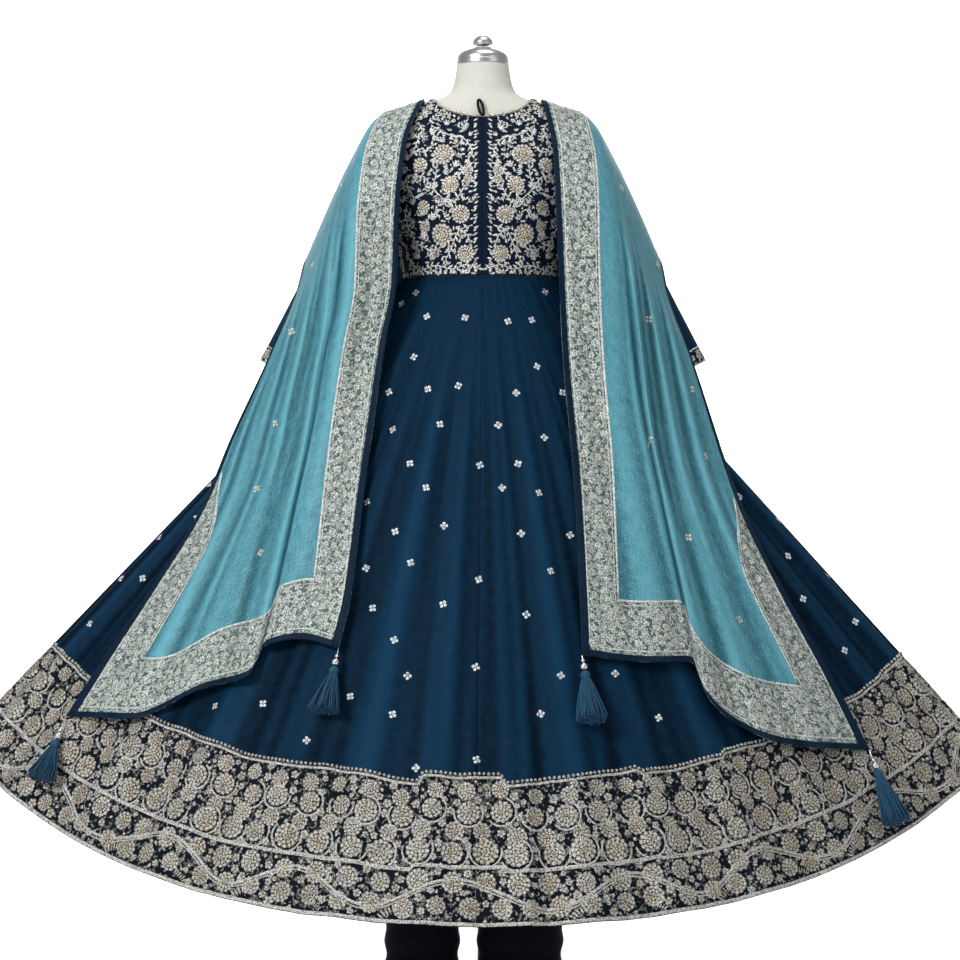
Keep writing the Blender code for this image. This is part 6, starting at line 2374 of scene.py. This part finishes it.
@dataclass
class TasselsLook:
    """Silver beads and blue thread tassels at the scarf's corners."""

    wardrobe: Wardrobe
    bead: float = 0.0065
    head: float = 0.0085
    skirt_spread: float = 0.025
    strands: int = 132

    def build(self) -> None:
        """Build a bead and a tassel at each corner."""
        for side, corner, across, thread, length in CORNERS:
            end = LEFT_END if side is Side.LEFT else RIGHT_END
            anchor = scarf_end(side, end)(np.array([across]), np.array([1.0]))[0]
            slope, outward = self.hang(anchor)
            axis = unit(slope + 0.12 * outward)
            start = anchor + axis * 0.0007 - outward * 0.0006
            word = f"{side.word}_{corner}"
            bead_at = start + axis * thread
            self.string(word, start, bead_at, axis)
            self.tassel(word, bead_at + axis * (self.bead + self.head + SEAM_GAP), axis, outward, length)

    @staticmethod
    def hang(point: Array) -> tuple[Array, Array]:
        """Direction down the skirt under a point, and straight out from it."""
        step = 0.004
        x = np.array([point[0], point[0], point[0] + step])
        z = np.array([point[2], point[2] - step, point[2]])
        depth, lower, beside = skirt_depth(x, z)
        outward = unit(np.cross([0.0, lower - depth, -step], [step, beside - depth, 0.0]))
        if outward[1] > 0.0:
            outward = -outward
        return unit(np.array([0.0, 0.0, -1.0]) + outward * outward[2]), outward

    def string(self, word: str, start: Array, centre: Array, axis: Array) -> None:
        """Silver beads on a twist of thread."""
        run = float(np.linalg.norm(centre - start))
        profile = [(0.0, run), (0.0009, run)]
        small = 0.0034
        for middle, size in ((self.bead + small + 0.001, small), (0.0, self.bead)):
            profile += [(0.0009, middle + size)]
            profile += arc(size, size, middle, np.arange(15, 180, 15))
        profile += [(0.0, -self.bead)]
        piece = turned(f"tassel_beads_{word}", profile, self.wardrobe.silver, 20)
        self.pose(piece, centre, axis)
        settle(piece, "silver_bead", f"tassel_bead_{word}")

    def pose(self, piece: bpy.types.Object, place: Array, axis: Array) -> None:
        """Put a piece made about Z at a place, with its foot along an axis."""
        turn = Vector(-axis).to_track_quat("Z", "Y").to_matrix().to_4x4()
        turn.translation = Vector(place)
        piece.data.transform(turn)

    def tassel(self, word: str, place: Array, axis: Array, outward: Array, length: float) -> None:
        """Wound head and a skirt of strands that flare and settle on the cloth."""
        draw = np.random.default_rng(len(word) + int(1000 * length))
        profile = [(0.0, self.head)]
        profile += arc(0.95 * self.head, self.head, 0.0, np.arange(15, 130, 10))
        neck = -0.62 * self.head
        profile += [(0.0068 + 0.0006 * math.sin(2.2 * k), neck - 0.0008 * k) for k in range(7)]
        profile += [(0.0060, neck - 0.0062), (0.0, neck - 0.0064)]
        head = turned(f"tassel_head_{word}", profile, self.wardrobe.tassel, 20)
        self.pose(head, place, axis)
        turn = Vector(-axis).to_track_quat("Z", "Y").to_matrix()
        out = np.array(turn.inverted() @ Vector(outward))
        points, faces, lays = [], [], []
        sides, rows = 3, 8
        for k in range(self.strands):
            bearing = 2.4 * k
            reach = math.sqrt((k + 0.5) / self.strands)
            share = np.linspace(0.0, 1.0, rows)
            tip = self.skirt_spread * reach * (0.85 + 0.30 * draw.random())
            fall = length * (1.0 - 0.06 * draw.random())
            radius = 0.0056 * reach + (tip - 0.0056 * reach) * share**0.85
            sway = 0.0012 * np.sin(5.0 * share + draw.uniform(0, 6.28)) * share
            x = radius * math.cos(bearing) + sway
            y = radius * math.sin(bearing) + 0.8 * sway
            path = stack(x, y, neck + 0.001 - fall * share)
            into = np.minimum(0.0, path @ out + 0.006 * (1.0 - share))
            path = path - 0.72 * into[:, None] * out
            thick = 0.0015 * (1.0 + 0.15 * share)[:, None, None]
            angles = np.linspace(0.0, 2.0 * np.pi, sides, endpoint=False)
            ring = np.stack([np.cos(angles), np.sin(angles), np.zeros(sides)], axis=-1)
            start = len(points) * sides * rows
            points.append((path[:, None] + ring[None] * thick).reshape(-1, 3))
            place_of = start + np.arange(rows * sides).reshape(rows, sides)
            after = np.roll(place_of, -1, axis=1)
            corners = [place_of[:-1], place_of[1:], after[1:], after[:-1]]
            faces += np.stack(corners, axis=-1).reshape(-1, 4).tolist()
            faces += [place_of[0].tolist(), place_of[-1, ::-1].tolist()]
            lays.append(stack(angles[None] * 0.002 + 0.01 * k, share[:, None] * length, 0.0).reshape(-1, 3))
        name, lay = f"tassel_strands_{word}", np.concatenate(lays)
        strands = make_mesh(name, np.concatenate(points), faces, self.wardrobe.tassel, lay)
        self.pose(strands, place, axis)
        settle(head, "blue_tassel_thread", f"tassel_{word}")
        settle(strands, "blue_tassel_thread")


@dataclass
class Studio:
    """Pale floor that sweeps up behind, soft light and the camera."""

    distance: float = 4.5
    pixel: float = 0.00172
    across: float = -0.005
    eye: float = 0.97736
    white: Colour = (0.93, 0.93, 0.93)
    wall: float = 7.0

    def build(self) -> None:
        """Build the floor, the lights and the camera, and show colours as they are."""
        bpy.context.scene.view_settings.view_transform = "Standard"
        self.floor()
        self.lights()
        self.camera()

    def floor(self) -> None:
        """Floor with a rounded rise into a back wall."""
        turn = np.linspace(0.0, 0.5 * np.pi, 16)
        near, half_width, rise, top = -9.0, 12.0, 2.0, 9.0
        profile = [(near, 0.0)]
        profile += [(self.wall + rise * math.sin(a), rise - rise * math.cos(a)) for a in turn]
        profile += [(self.wall + rise, top)]
        points = np.array([(x, y, z) for y, z in profile for x in (-half_width, half_width)])
        faces = [[2 * i, 2 * i + 1, 2 * i + 3, 2 * i + 2] for i in range(len(profile) - 1)]
        material, _, shader = new_material("studio_white")
        shader.inputs["Base Color"].default_value = (*self.white, 1.0)
        shader.inputs["Roughness"].default_value = 0.9
        make_mesh("studio_floor", points, faces, material, np.zeros((len(points), 3)))

    def lights(self) -> None:
        """Even pale sky, four soft lamps round the suit and one on the back wall."""
        world = bpy.data.worlds.new("studio_air")
        bpy.context.scene.world = world
        world.use_nodes = True
        world.node_tree.nodes["Background"].inputs["Color"].default_value = (1.0, 1.0, 1.0, 1.0)
        world.node_tree.nodes["Background"].inputs["Strength"].default_value = 0.42
        boxes = (
            ("key_light", (-2.6, -3.7, 3.2), 186.0, 1.4, (0.0, 0.0, 1.0)),
            ("fill_light", (3.2, -3.2, 2.0), 18.0, 2.4, (0.0, 0.0, 1.0)),
            ("top_light", (0.3, -0.6, 4.4), 55.0, 2.0, (0.0, 0.0, 1.0)),
            ("front_light", (0.5, 3.4, 3.0), 40.0, 2.4, (0.0, 0.0, 1.0)),
            ("backdrop_light", (0.0, 4.4, 5.0), 950.0, 3.4, (0.0, self.wall + 2.2, 1.0)),
        )
        for name, place, power, size, aim in boxes:
            lamp = bpy.data.lights.new(name, "AREA")
            lamp.energy = power
            lamp.shape = "DISK"
            lamp.size = size
            light = bpy.data.objects.new(name, lamp)
            light.location = place
            light.rotation_euler = (Vector(aim) - Vector(place)).to_track_quat("-Z", "Y").to_euler()
            bpy.context.scene.collection.objects.link(light)

    def camera(self) -> None:
        """Camera at the photograph's distance and height."""
        lens = bpy.data.cameras.new("camera")
        lens.sensor_width = 36.0
        lens.lens = self.distance * 36.0 / (self.pixel * 960.0)
        camera = bpy.data.objects.new("camera", lens)
        camera.location = (self.across, -self.distance, self.eye)
        camera.rotation_euler = (math.radians(90.0), 0.0, 0.0)
        bpy.context.scene.collection.objects.link(camera)
        bpy.context.scene.camera = camera


def main() -> None:
    """Build every sub-assembly in order."""
    logging.basicConfig(level=logging.INFO, format="%(name)s: %(message)s")
    wardrobe = Wardrobe()
    for look in (DressForm, BodiceLook, SleevesLook, SkirtLook, TrousersLook, ScarfLook, TasselsLook):
        LOG.info("%s", look.__name__)
        look(wardrobe).build()
    Studio().build()


if __name__ == "__main__":
    main()
